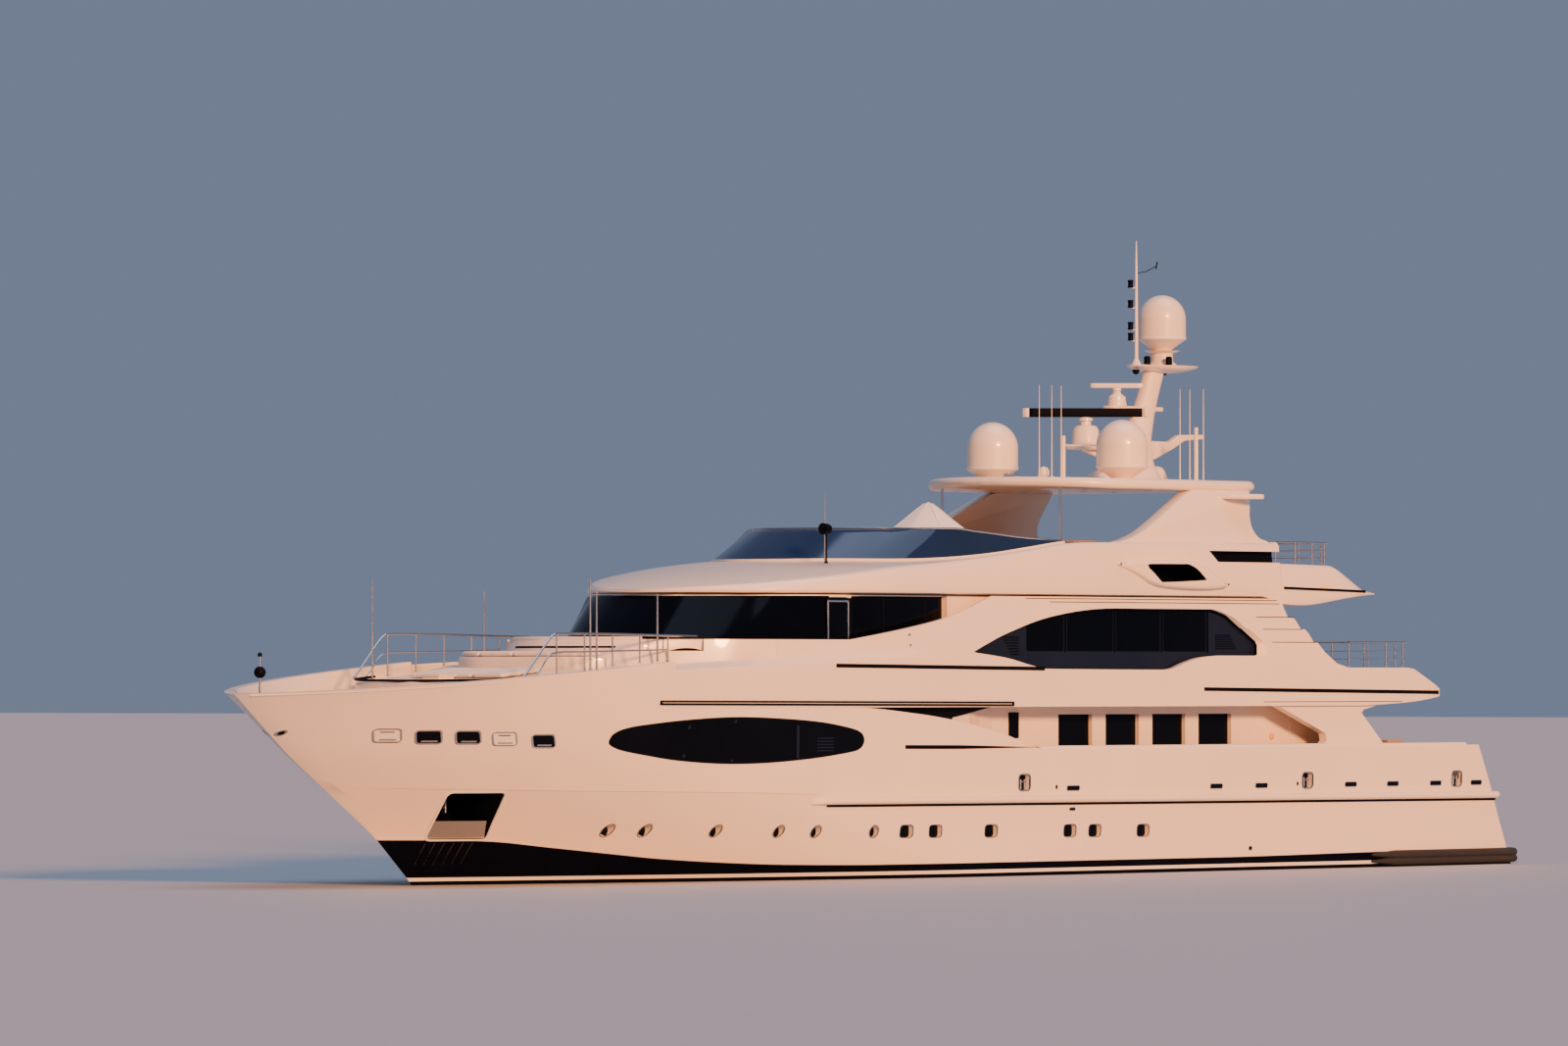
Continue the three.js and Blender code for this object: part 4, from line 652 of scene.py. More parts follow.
# Upper deck: its side walls, overhang and floor
UPPER_FLOOR = 4.95
UPPER_LOW = 4.451
UPPER_WALL_TOP = 7.36
UPPER_EDGE = [[-21.3, 4.84], [-21.13, 4.84], [-19.6, 5.45], [-19.3, 5.49], [-16.44, 5.49]]
SCALLOP = [[-16.44, 5.49], [-15.9, 5.6], [-15.35, 5.9], [-15.0, 6.17], [-14.82, 6.18], [-14.6, 6.42],
           [-14.44, 6.53], [-14.24, 6.54], [-14.02, 6.78], [-13.9, 6.86], [-13.66, 6.87], [-13.5, 7.12],
           [-13.4, 7.36]]
SHOULDER = [[-0.4, 7.36], [0.12, 7.2], [0.75, 6.99], [1.72, 6.76], [2.64, 6.6], [4.25, 6.37], [5.6, 6.2]]
LEDGE_TOP = [[1.5, 6.0], [5.26, 5.87], [9.11, 5.7], [11.3, 5.62], [13.2, 5.55]]
ARCH_TOP = [[0.52, 5.89], [-0.2, 6.14], [-1.09, 6.41], [-2.79, 6.8], [-4.96, 7.04], [-7.5, 7.06],
            [-10.2, 7.06]]
ARCH_LOW = [[-10.35, 5.81], [-9.6, 5.76], [-8.9, 5.62], [-8.3, 5.46], [-8.0, 5.43], [-2.7, 5.45],
            [-2.1, 5.53], [-0.9, 5.74], [0.52, 5.88]]


def side_of_upper(x, z):
    """How far out the upper deck's side stands: its plan's half-breadth, less a lean that grows with
    height, less the covering board's ledge, a smooth step in height that is widest at the bow and gone
    amidships."""
    plan = soft([[-21.2, 4.22], [-20.9, 4.32], [-19.8, 4.38], [-17.5, 4.41], [-3, 4.42], [0, 4.45],
                 [6, 4.495], [14, 4.495]], x)
    plan = np.where(np.asarray(x) > 6, np.minimum(plan, half_breadth(x, z)), plan)
    lean = 0.1 * np.clip((z - 5.5) / 1.86, 0, 1) ** 1.5
    step = np.clip((z - soft(LEDGE_TOP, x) + 0.16) / 0.16, 0, 1)
    ledge = 0.3 * np.clip((x - 1.8) / 9, 0, 1) ** 1.15 * step
    return plan - lean - ledge


def arch_outline():
    top = bent(ARCH_TOP, 5)
    low = np.array(ARCH_LOW)
    fill = np.linspace(low[0, 0], low[-1, 0], 60)
    corner = np.array([[-10.75, 6.93], [-11.4, 6.58], [-12.1, 6.2], [-12.18, 6.1], [-12.19, 5.85],
                       [-12.1, 5.81]])
    return np.concatenate([top, corner, np.column_stack([fill, soft(ARCH_LOW, fill)])[:-1]])


def build_upper_deck():
    """The side wall's grid closed across the stern, less what is over, under and inside it and its
    windows."""
    xs = np.concatenate([np.linspace(12.98, -20.7, 150), [-20.95, -21.1]])
    levels = np.concatenate([[UPPER_LOW], np.linspace(4.6, 5.2, 4), np.linspace(5.3, 6.1, 22),
                             np.linspace(6.2, UPPER_WALL_TOP, 8)])
    x, z = np.meshgrid(xs, levels)
    port = np.stack([x, side_of_upper(x, z) - np.array([0] * 150 + [0.02, 0.1]), z], -1)
    port = np.concatenate([port, [[[-21.2, y, level] for y in (3.9, 0)] for level in levels]], 1)
    body = tube(twinned(port, 1, axis=1))
    shoulder, fore = np.linspace(-0.4, 5.6, 40), np.linspace(8.57, 14, 20)
    inner_x = np.linspace(14, -20.5, 80)
    over = np.concatenate([[[-23, 9], [-23, 4.84]], UPPER_EDGE[1:4], SCALLOP,
                           np.column_stack([shoulder, soft(SHOULDER, shoulder)]), [[8.56, 6.2]],
                           np.column_stack([fore, soft(LEDGE_TOP, fore)]), [[15, 5.5], [15, 9]]])
    under = bent([[-21.5, 4.8], [-20.6, 4.66], [-19.3, 4.54], [-17.2, UPPER_LOW]], 6)
    below = np.concatenate([[[-17.2, 4], [-23, 4], [-23, 4.8]], under])
    wall = 0.16 + 0.14 * np.clip((inner_x - 2) / 9, 0, 1)
    inner = np.concatenate([grid_of(inner_x, side_of_upper(inner_x, 5.0) - wall),
                            [[-20.75, 3.7], [-20.85, 3.3]]])
    arch = arch_outline()
    aft_share = np.clip((-10.3 - arch[:, 0]) / 1.5, 0, 1)
    window = tube(np.array([grid_of(arch[:, 0] - splay * aft_share, y, arch[:, 1])
                            for y, splay in ((3.5, 0), (4.12, 0), (5.2, 1.5))]))
    tools = [side_slab(over, -6, 6), side_slab(below, -6, 6),
             floored_with(slab(twinned(inner), UPPER_FLOOR, 9), 1), window, mirrored(window)]
    piece("upper_deck_form", carved(body, *tools), ["paint", "teak"], ["upper_deck"], angle=24)


BULWARK_LINE = [[12.1, 0], [12.02, 0.9], [11.62, 1.9], [10.85, 2.8], [10.0, 3.48], [9.4, 3.9], [8.57, 4.25],
                [8.3, 4.17]]


def build_bridge_bulwark():
    """The plan's smooth line at each height, its base spread forward by 0.65 of the way down from the
    cap."""
    top = 6.2
    line = twinned(bent(BULWARK_LINE, 8)[::-1], 1)
    forward = 0.65 * np.clip((line[:, 0] - 9) / 2.5, 0, 1)

    def wall(levels, inward):
        place = line + normals(line) * inward
        return grid_of(place[:, 0] + (top - levels) * forward, place[:, 1], levels)

    levels = np.linspace(top, UPPER_FLOOR + 0.01, 14)[:, None]
    notch = slab(rounded([[11.5, 2.2], [13, 3.2], [12, 4.6], [10.2, 3.2]], 0.05), 5.9, 7)
    body = carved(thick(wall(levels, 0), wall(levels, 0.16)), notch, mirrored(notch))
    piece("bridge_bulwark_form", body, "paint", ["bridge_bulwark"], angle=28)
    capped = line[line[:, 0] > 11.45]
    piece("bridge_bulwark_cap", rod(grid_of(capped[:, 0] - 0.06, capped[:, 1], top), 0.07), "paint")
    face = wall(np.array([[5.98], [6.03]]), 0)[:, line[:, 0] > 11.7] + [0.012, 0, 0]
    piece("bridge_bulwark_stripe", thick(face, face - [0.05, 0, 0]), "dark")


# Bridge
BRIDGE_PLAN = [[10.3, 0], [10.16, 1.0], [9.65, 1.95], [8.85, 2.75], [7.9, 3.35], [6.8, 3.73], [5.6, 3.85],
               [4.6, 3.85]]
BRIDGE_BAND = (5.72, 7.33)


def bridge_line(z, out=0.0):
    """The bridge's plan at one height: the front leans aft by 1.5 over the band, less towards the sides."""
    plan = bent(BRIDGE_PLAN, 6)
    share = max(0, (z - 5.75) / (UPPER_WALL_TOP - 5.75))
    x = plan[:, 0] - 1.5 * share * np.clip((plan[:, 0] - 5.6) / 3.2, 0, 1)
    return grid_of(*(np.column_stack([x, plan[:, 1]]) + normals(plan) * out).T, z)


def build_bridge_glazing():
    """Black glass outside the bridge's wall: its front in one sweep, and a panel aft of each side door."""
    low, high = BRIDGE_BAND
    grids = [np.array([bridge_line(z, out) for z in np.linspace(low, high, 6)]) for out in (-0.014, 0.085)]
    keep = grids[0][0, :, 0] > 6.1
    front = [twinned(grid[:, keep][:, ::-1], 1, axis=1) for grid in grids]
    aft = both(block([1.12, 4.95], [3.83, 3.862], BRIDGE_BAND, 0.004))
    piece("bridge_glazing", together(thick(*front), aft), "glass", angle=40)
    mullions = [block([x - 0.035, x + 0.035], [3.855, 3.867], [low + 0.1, high - 0.08], 0.002)
                for x in (1.85, 3.6)]
    piece("bridge_mullions", both(*mullions), "dark")
    leaf = block([4.98, 6.08], [3.874, 3.924], [UPPER_FLOOR + 0.03, 7.28], 0.01)
    bars = [block([x - 0.025, x + 0.025], [3.915, 3.94], [UPPER_FLOOR + 0.06, 7.2], 0.005)
            for x in (5.16, 6.0)]
    bars.append(block([5.14, 6.02], [3.915, 3.94], [7.17, 7.22], 0.005))
    bars.append(rod([[5.85, 3.96, 5.8], [5.85, 3.985, 5.85], [5.85, 3.985, 6.15], [5.85, 3.96, 6.2]],
                    0.014, 8, across=(1, 0, 0)))
    twins("bridge_door", together(leaf, moved(together(*bars), shade=1)), ["glass", "steel"], moves=True)


# Sundeck
SUNDECK_FLOOR = 7.82
FASCIA_TOP = [[-18.13, 7.57], [-17.7, 7.62], [-16.8, 7.99], [-16.3, 8.22], [-16.0, 8.28], [-13.5, 8.32],
              [-13.44, 8.9], [-10.3, 8.87], [-6.1, 8.83], [-4.5, 8.8],
              [-2.8, 8.63], [-1.5, 8.48], [0, 8.34], [1.6, 8.22], [3.5, 8.08], [5.5, 7.86], [7.4, 7.66],
              [8.4, 7.57], [8.98, 7.5]]
ROOF_TOP = [[-18.13, 7.57], [-17, 7.9], [-16, 8.28], [-13.5, 8.32], [-13.44, 8.9], [-6.1, 8.83], [-4.5, 8.8],
            [-2.8, 8.63], [-1, 8.46], [1, 8.38], [3, 8.34],
            [4.8, 8.22], [6, 8.07], [7, 7.93], [7.9, 7.77], [8.5, 7.63], [8.98, 7.5]]
UNDERSIDE = [[-17.95, 7.5], [-16.7, 7.38], [-14.4, 7.17], [-13.5, 7.2], [-12.6, 7.4], [-6, 7.4], [7, 7.4],
             [8.98, 7.42]]
SCREEN_LOW = [[4.25, 0], [4.17, 0.7], [3.9, 1.3], [3.1, 2.25], [2.1, 2.95], [0.95, 3.42], [-0.6, 3.66],
              [-2.4, 3.74], [-4.3, 3.78]]


def fascia_top(x):
    """The height of the sundeck's side: straight between the aft stations, a smooth line forward of
    them."""
    return np.where(np.asarray(x) < -13.4, np.interp(x, *np.transpose(FASCIA_TOP[:8])),
                    soft(FASCIA_TOP[7:], x))


def sundeck_half(x, z=None):
    """Half the sundeck's breadth: even aft, and forward (1 - s^2.4)^0.55 of it, s running from 0 to 1 at
    the brow."""
    aft = soft([[-18.1, 4.08], [-16.7, 4.22], [-13.55, 4.28], [9, 4.28]], x)
    s = np.clip((x - 3) / 5.99, 0, 1)
    return aft * (1 - s ** 2.4) ** 0.55


def roof_z(x, y):
    """The roof's height: the fascia's top at the edge, and up to the roof's top by 1 - share^2.2."""
    low = fascia_top(x)
    high = np.where(np.asarray(x) < -13.4, low, soft(ROOF_TOP[4:], x))
    share = np.clip(abs(y) / np.maximum(sundeck_half(x) - 0.18, 0.05), 0, 1)
    return low + np.maximum(high - low, 0) * (1 - share ** 2.2)


def build_sundeck():
    """Rows of stations from the underside over the lip and the fascia to the roof, less the well and
    slots."""
    xs = np.concatenate([[-18.13], np.linspace(-18.05, 3, 90, endpoint=False),
                         3 + 5.985 * np.sin(np.linspace(0, np.pi / 2, 44))])
    xs = np.sort(np.concatenate([xs, [-13.52, -13.48, -13.44, -13.4, -16.1, -15.95]]))
    half, low, top = sundeck_half(xs), soft(UNDERSIDE, xs), fascia_top(xs)
    lip = np.minimum(0.09, (top - low) * 0.3)
    rows = [(0, low), (half * 0.6, low), (half - lip, low), (half - lip * 0.3, low + lip * 0.3),
            (half, low + lip)]
    rows += [(half - 0.07 * f ** 2, low + lip + (top - low - 2.2 * lip) * f) for f in (0.25, 0.5, 0.75, 1)]
    rows.append((np.maximum(half - 0.12, half * 0.9), top - 0.4 * lip))
    for share in (1, 0.95, 0.88, 0.78, 0.65, 0.5, 0.33, 0.16, 0):
        y = np.maximum(half - 0.18, half * 0.8) * share
        rows.append((y, roof_z(xs, y)))
    well = bent([[3.85, 0], [3.75, 0.8], [3.45, 1.35], [2.8, 2.05], [1.85, 2.65], [0.8, 3.08], [-0.7, 3.32],
                 [-3, 3.5], [-5, 3.68], [-7, 3.75]], 4)
    well = np.concatenate([well, [[-16.2, 3.75], [-16.9, 3.5], [-17.2, 3.0], [-17.25, 0]]])
    slot = side_slab(rounded([[-10.22, 8.64], [-10.6, 8.34], [-13.9, 8.34], [-13.9, 8.64]], 0.04), 3.95, 6,
                     shade=2)
    mouth = side_slab(rounded([[-7.17, 8.26], [-8.9, 8.27], [-9.25, 8.16], [-9.78, 7.84], [-7.72, 7.76]],
                              0.1), 3.85, 6, shade=2)
    tools = [floored_with(slab(twinned(well, 1, 1), SUNDECK_FLOOR, 10), 1), slot, mirrored(slot), mouth,
             mirrored(mouth)]
    body = carved(across(section(xs, rows), [0] * (len(rows) - 1)), *tools)
    piece("sundeck_form", body, ["paint", "teak", "dark"], ["sundeck"], angle=26)
    swell = bent([[-6.0, 8.27], [-7.2, 8.35], [-8.6, 8.385], [-9.5, 8.28], [-10.3, 7.98], [-10.82, 7.7],
                  [-10.0, 7.6], [-8.8, 7.61], [-7.6, 7.7], [-6.84, 7.98]], 4, closed=True)
    hood = side_slab(swell, 4.02, 4.52, 0.1)
    x, y, _ = hood[0].T
    y -= np.where(y > 4.2, 0.22 * np.clip((x + 8.6) / 2.6, 0, 1) ** 2, 0)
    hood = carved(hood, mouth)
    for name, shape in (("port", hood), ("starboard", mirrored(hood))):
        piece(f"intake_hood_{name}", shape, ["paint", "dark", "dark"], angle=50)
    slats = [block([-9.7, -7.2], [3.9, 3.93], [7.84 + 0.09 * i, 7.87 + 0.09 * i], 0.004) for i in range(5)]
    piece("intake_slats", both(*slats), "dark")


def build_windscreen():
    """Blue glass on the roof round the sundeck's front: its foot follows the roof and its top leans
    inward."""
    line = twinned(bent(SCREEN_LOW, 8)[::-1], 1)
    x, y = line.T
    foot = roof_z(x, y) + 0.03
    head = soft([[-4.3, 8.86], [-2.6, 8.93], [-1, 9.05], [0.6, 9.14], [4.3, 9.14]], x)
    lean = 1.55 * np.clip((x + 0.6) / 3.5, 0, 1)
    f = np.linspace(0, 1, 8)[:, None]
    skins = []
    for inward in (0, 0.05):
        base_x, base_y = (line + normals(line) * inward).T
        skins.append(grid_of(base_x - lean * f, base_y - np.sign(y) * 0.1 * f * np.clip(abs(y), 0, 1),
                             foot + (head - foot) * f))
    piece("windscreen_glass", thick(*skins), "screen", ["sundeck_windscreen"], angle=40)
    piece("windscreen_rim", rod(skins[0][-1], 0.025, 6), "steel")
    piece("windscreen_foot", rod(skins[0][0] - [0, 0, 0.01], 0.035, 6), "paint")


# Radar arch, hardtop and domes
HARDTOP = (10.28, 10.56)
FIN_FORE = [[-6.6, 8.8], [-6.62, 8.86], [-7.0, 8.94], [-7.7, 9.14], [-8.5, 9.47], [-9.3, 9.83],
            [-10.1, 10.18], [-10.5, 10.3]]
FIN_AFT = [[-13.02, 10.3], [-12.92, 10.0], [-12.75, 9.6], [-12.72, 9.35], [-12.8, 9.15], [-12.98, 9.0],
           [-13.28, 8.92], [-13.3, 8.8]]


def build_arch():
    """Two leaning fins, each with a small wing, and a roof with a low crown whose fore underside lifts."""
    fin = side_slab(np.concatenate([bent(FIN_FORE, 5), bent(FIN_AFT, 5)]), -0.19, 0.17, 0.022)
    fin[0][:, 1] += 3.8 - 0.305 * (fin[0][:, 2] - 8.87)
    wing = slab(rounded([[-11.5, 3.4], [-11.75, 3.95], [-12.6, 4.22], [-12.85, 4.2], [-12.7, 3.4]], 0.15),
                10.06, 10.2, 0.05)
    twins("arch_fin", together(fin, wing), "paint", angle=40)
    side = bent([[-5.62, 0], [-5.72, 0.8], [-6.1, 1.8], [-6.8, 2.7], [-7.7, 3.25], [-8.8, 3.45],
                 [-10.5, 3.5]], 6)
    half = np.concatenate([side, [[-13.0, 3.55], [-13.35, 3.45], [-13.5, 3.2], [-13.5, 0]]])
    roof = slab(twinned(half, 1, 1), *HARDTOP, 0.13)
    x, y, z = roof[0].T
    z += np.where(z > sum(HARDTOP) / 2, 0.06 * (1 - (y / 3.6) ** 2), 0.08 * np.clip((x + 7.5) / 1.8, 0, 1))
    piece("hardtop_form", roof, "paint", ["hardtop"], angle=40)
    lights = [disc(0.09, 0.012, (x, y, HARDTOP[0] - 0.011)) for x in (-7.4, -8.8, -10.2, -11.6)
              for y in (-2.2, 0, 2.2)]
    piece("hardtop_downlights", together(*lights), "steel")


def dome(x, y, z, radius):
    """A satellite dome: a flared foot, a drum with a bolted rim, and a crown that is an ellipse turned
    round."""
    angle = np.linspace(0, np.pi / 2, 16)
    body = [[0, 0], [radius * 0.39, 0], [radius * 0.42, 0.03], [radius * 0.48, 0.06], [radius * 0.93, 0.27],
            [radius, 0.3], [radius * 1.02, 0.31], [radius * 1.02, 0.36], [radius, 0.375],
            [radius, 0.36 + radius * 0.72]]
    crown = np.column_stack([radius * np.cos(angle), 0.36 + radius * (0.74 + 1.03 * np.sin(angle))])[1:]
    shell = turned(np.concatenate([body, crown]), (x, y, z), 48)
    seam = turned([[radius * 0.9, 0.36 + radius * 0.74], [radius * 1.006, 0.36 + radius * 0.74],
                   [radius * 1.006, 0.36 + radius * 0.765], [radius * 0.9, 0.36 + radius * 0.765]],
                  (x, y, z), 48)
    return together(shell, seam)


def build_domes():
    for name, y in (("port", 2.2), ("starboard", -2.2)):
        piece(f"satellite_dome_{name}_form", dome(-9.0, y, HARDTOP[1] + 0.02, 0.7), "paint",
              [f"satellite_dome_{name}"], angle=40)
    piece("mast_dome_form", dome(-13.8, 0, 14.201, 0.66), "paint", ["mast_dome"], angle=40)


MAST_TOP = 13.7
MAST_COLUMN = np.array([[10.55, -12.0, 1.6, 0.62], [10.75, -12.1, 1.35, 0.52], [11.0, -12.27, 1.0, 0.41],
                        [11.3, -12.42, 0.74, 0.34], [11.6, -12.55, 0.56, 0.3], [12.1, -12.77, 0.44, 0.265],
                        [12.6, -12.98, 0.37, 0.24], [13.2, -13.24, 0.34, 0.225],
                        [MAST_TOP, -13.45, 0.34, 0.22]])


def build_mast():
    """The column: at each height a squarish oval, long and wide as the table says; its shelves, a top
    platform that is an oval lens, two curved braces, an arm and three necks."""
    z = np.linspace(MAST_COLUMN[0, 0], MAST_TOP, 26)
    x, long, wide = (soft(MAST_COLUMN[:, [0, i]], z)[:, None] for i in (1, 2, 3))
    angle = round_angles(28)
    c, s = np.cos(angle), np.sin(angle)
    column = grid_of(x + long * np.sign(c) * abs(c) ** 0.8, wide * np.sign(s) * abs(s) ** 0.75, z[:, None])
    swing = np.linspace(-np.pi / 2, np.pi / 2, 19)[:, None]
    turn = round_angles(24)[None]
    half, deep = 0.72 * np.sqrt(1 - 0.97 * np.sin(swing) ** 2), 0.04 + 0.17 * np.cos(swing) ** 2
    platform = grid_of(-13.83 + 1.33 * np.sin(swing), half * np.cos(turn),
                       MAST_TOP + 0.08 + np.where(turn < np.pi, 0.02, deep) * np.sin(turn))
    bodies = [tube(column),
              slab(rounded([[-9.66, 0.3], [-12.4, 0.27], [-12.4, -0.27], [-9.66, -0.3]], 0.25), 11.42, 11.56,
                   0.04),
              slab(rounded([[-11.3, 0.26], [-13.68, 0.22], [-13.68, -0.22], [-11.3, -0.26]], 0.2), 12.52,
                   12.64, 0.03),
              tube(platform)]
    for start, end, deep in (([-10.1, 11.44], [-12.1, 11.1], 0.16), ([-11.7, 12.58], [-12.8, 12.3], 0.1)):
        middle = [(start[0] + end[0]) / 2 - 0.3, 0, (start[1] + end[1]) / 2 - 0.06]
        line = bent([[start[0], 0, start[1]], middle, [end[0], 0, end[1]]], 8)
        bodies.append(rod(line, np.linspace(deep * 0.4, deep, len(line)), 10, across=(0, 1, 0)))
    arm = rounded([[-12.6, 11.72], [-14.05, 11.7], [-14.5, 11.9], [-15.62, 11.92], [-15.68, 11.8],
                   [-14.75, 11.74], [-14.2, 11.5], [-13.4, 11.22], [-12.6, 11.0]], 0.1)
    bodies += [side_slab(arm, -0.1, 0.1, 0.04),
               turned([[0, 0], [0.44, 0], [0.4, 0.05], [0.31, 0.12], [0.3, 0.34], [0.46, 0.4], [0.5, 0.42],
                       [0, 0.42]], (-13.8, 0, MAST_TOP + 0.08), 28),
               turned([[0, 0], [0.38, 0], [0.4, 0.04], [0.38, 0.1], [0.36, 0.42], [0.3, 0.52], [0.15, 0.56],
                       [0.14, 0.66], [0, 0.66]], (-10.3, 0, 11.54), 24),
               turned([[0, 0], [0.27, 0], [0.28, 0.03], [0.26, 0.08], [0.24, 0.25], [0.12, 0.34], [0.1, 0.42],
                       [0, 0.42]], (-11.72, 0, 12.64), 20)]
    piece("mast_form", together(*bodies), "paint", ["mast"], angle=40)
    fairing = side_slab(rounded([[-9.4, 10.5], [-10.2, 10.62], [-11.0, 10.86], [-12.2, 11.1], [-13.6, 11.0],
                                 [-13.9, 10.5]], 0.2), -0.26, 0.26, 0.1)
    piece("mast_fairing", fairing, "paint", angle=40)


YAW = math.radians(128.5)


def scanner_bar(reach, tall, deep, foot, centre):
    """A long bar whose ends are drawn in, turned so that it is square to the view."""
    shape = slab(rounded([[-reach, -deep * 0.4], [-reach + 0.1, -deep], [reach - 0.1, -deep],
                          [reach, -deep * 0.4], [reach, deep * 0.4], [reach - 0.1, deep],
                          [-reach + 0.1, deep], [-reach, deep * 0.4]], 0.05),
                 foot, foot + tall, 0.03)
    return moved(spun(shape, YAW), centre)


def build_scanners():
    low, high = (-10.3, 0, 12.212), (-11.72, 0, 13.072)
    piece("lower_scanner_bar", scanner_bar(1.56, 0.24, 0.11, 0.1, low), "dark", ["lower_scanner"],
          "lower_scanner")
    ends = [scanner_bar(0.1, 0.242, 0.112, 0.099, (low[0] + at * math.cos(YAW), at * math.sin(YAW), low[2]))
            for at in (1.62, -1.62)]
    boss = turned([[0, 0], [0.2, 0], [0.19, 0.07], [0.12, 0.1], [0, 0.1]], low, 24)
    piece("lower_scanner_ends", together(*ends, boss), "paint", rides="lower_scanner")
    boss = turned([[0, 0], [0.13, 0], [0.12, 0.06], [0, 0.06]], high, 20)
    piece("upper_scanner_bar", together(scanner_bar(0.72, 0.13, 0.08, 0.06, high), boss), "paint",
          ["upper_scanner"], "upper_scanner")


# Plates, rims and stripes that follow a side of the ship
def patch(outline, lift, sink, rings=4):
    """A thin closed plate whose outer face follows the hull: rings that grow from the outline's middle,
    each point set out to the hull's y at its x and z plus the lift, and a back that is sunk behind the
    side."""
    middle = outline.mean(0)
    shares = np.append(np.linspace(0.04, 1, rings), 1)
    x, z = np.moveaxis(middle + (outline - middle) * shares[:, None, None], -1, 0)
    y = half_breadth(x, z) + lift
    y[-1] -= lift + sink
    return tube(np.stack([x, y, z], -1))


def rim(outline, width, lift):
    """A raised rim round an outline on the hull: a square section carried round it, its face set out by the
    lift."""
    rows = []
    sunk = -0.02
    for spread, out in ((0, sunk), (0, lift), (width, lift), (width, sunk), (0, sunk)):
        x, z = (drawn_in(outline, -spread) if spread else outline).T
        rows.append(grid_of(x, half_breadth(x, z) + out, z))
    return skin(np.array(rows), around=True)


def rimmed(outline, width, lift, plate_lift, sink, rings=4):
    """A plate and its rim on the hull's side."""
    return patch(outline, plate_lift, sink, rings), rim(outline, width, lift)


def ribbon(xs, low, high, lift=0.012, surface=half_breadth):
    """A stripe along a side between two heights for each x: a face set out by the lift and a back sunk
    behind it."""
    z = np.stack([np.broadcast_to(low, len(xs)), np.broadcast_to(high, len(xs))])
    y = surface(np.broadcast_to(xs, z.shape), z)
    return thick(grid_of(xs, y + lift, z), grid_of(xs, y - 0.04, z))


def level_line(start, end, tall, surface, lift=0.012, point=0.0):
    """A straight stripe from one (x, z) to another, drawn to a point over its last part where point says
    so."""
    along = np.linspace(0, 1, 40)
    half = tall / 2 * (np.clip((1 - along) / point, 0.06, 1) if point else 1)
    mid = np.interp(along, [0, 1], [start[1], end[1]])
    return ribbon(np.linspace(start[0], end[0], 40), mid - half, mid + half, lift, surface)


BOW_OPENINGS = [[21.0, 3.78, 0], [19.99, 3.74, 1], [18.99, 3.73, 1], [18.0, 3.69, 0], [16.88, 3.63, 1]]
LENS = [[14.88, 3.56], [14.9, 3.7], [14.83, 3.81], [14.58, 3.92], [13.99, 4.02], [12.45, 4.15], [10.54, 4.22],
        [8.54, 4.17], [6.92, 4.07], [5.77, 3.92], [5.36, 3.81], [5.22, 3.68], [5.22, 3.53], [5.39, 3.38],
        [5.84, 3.29], [7.3, 3.15], [9.27, 3.04], [10.91, 3.03], [12.47, 3.12], [13.67, 3.27], [14.32, 3.37],
        [14.65, 3.45]]
FREEING_SLOTS = [-3.81, -10.23, -12.3, -16.49, -18.53, -20.66, -22.73]
SCUPPERS = [-3.08, -13.98]


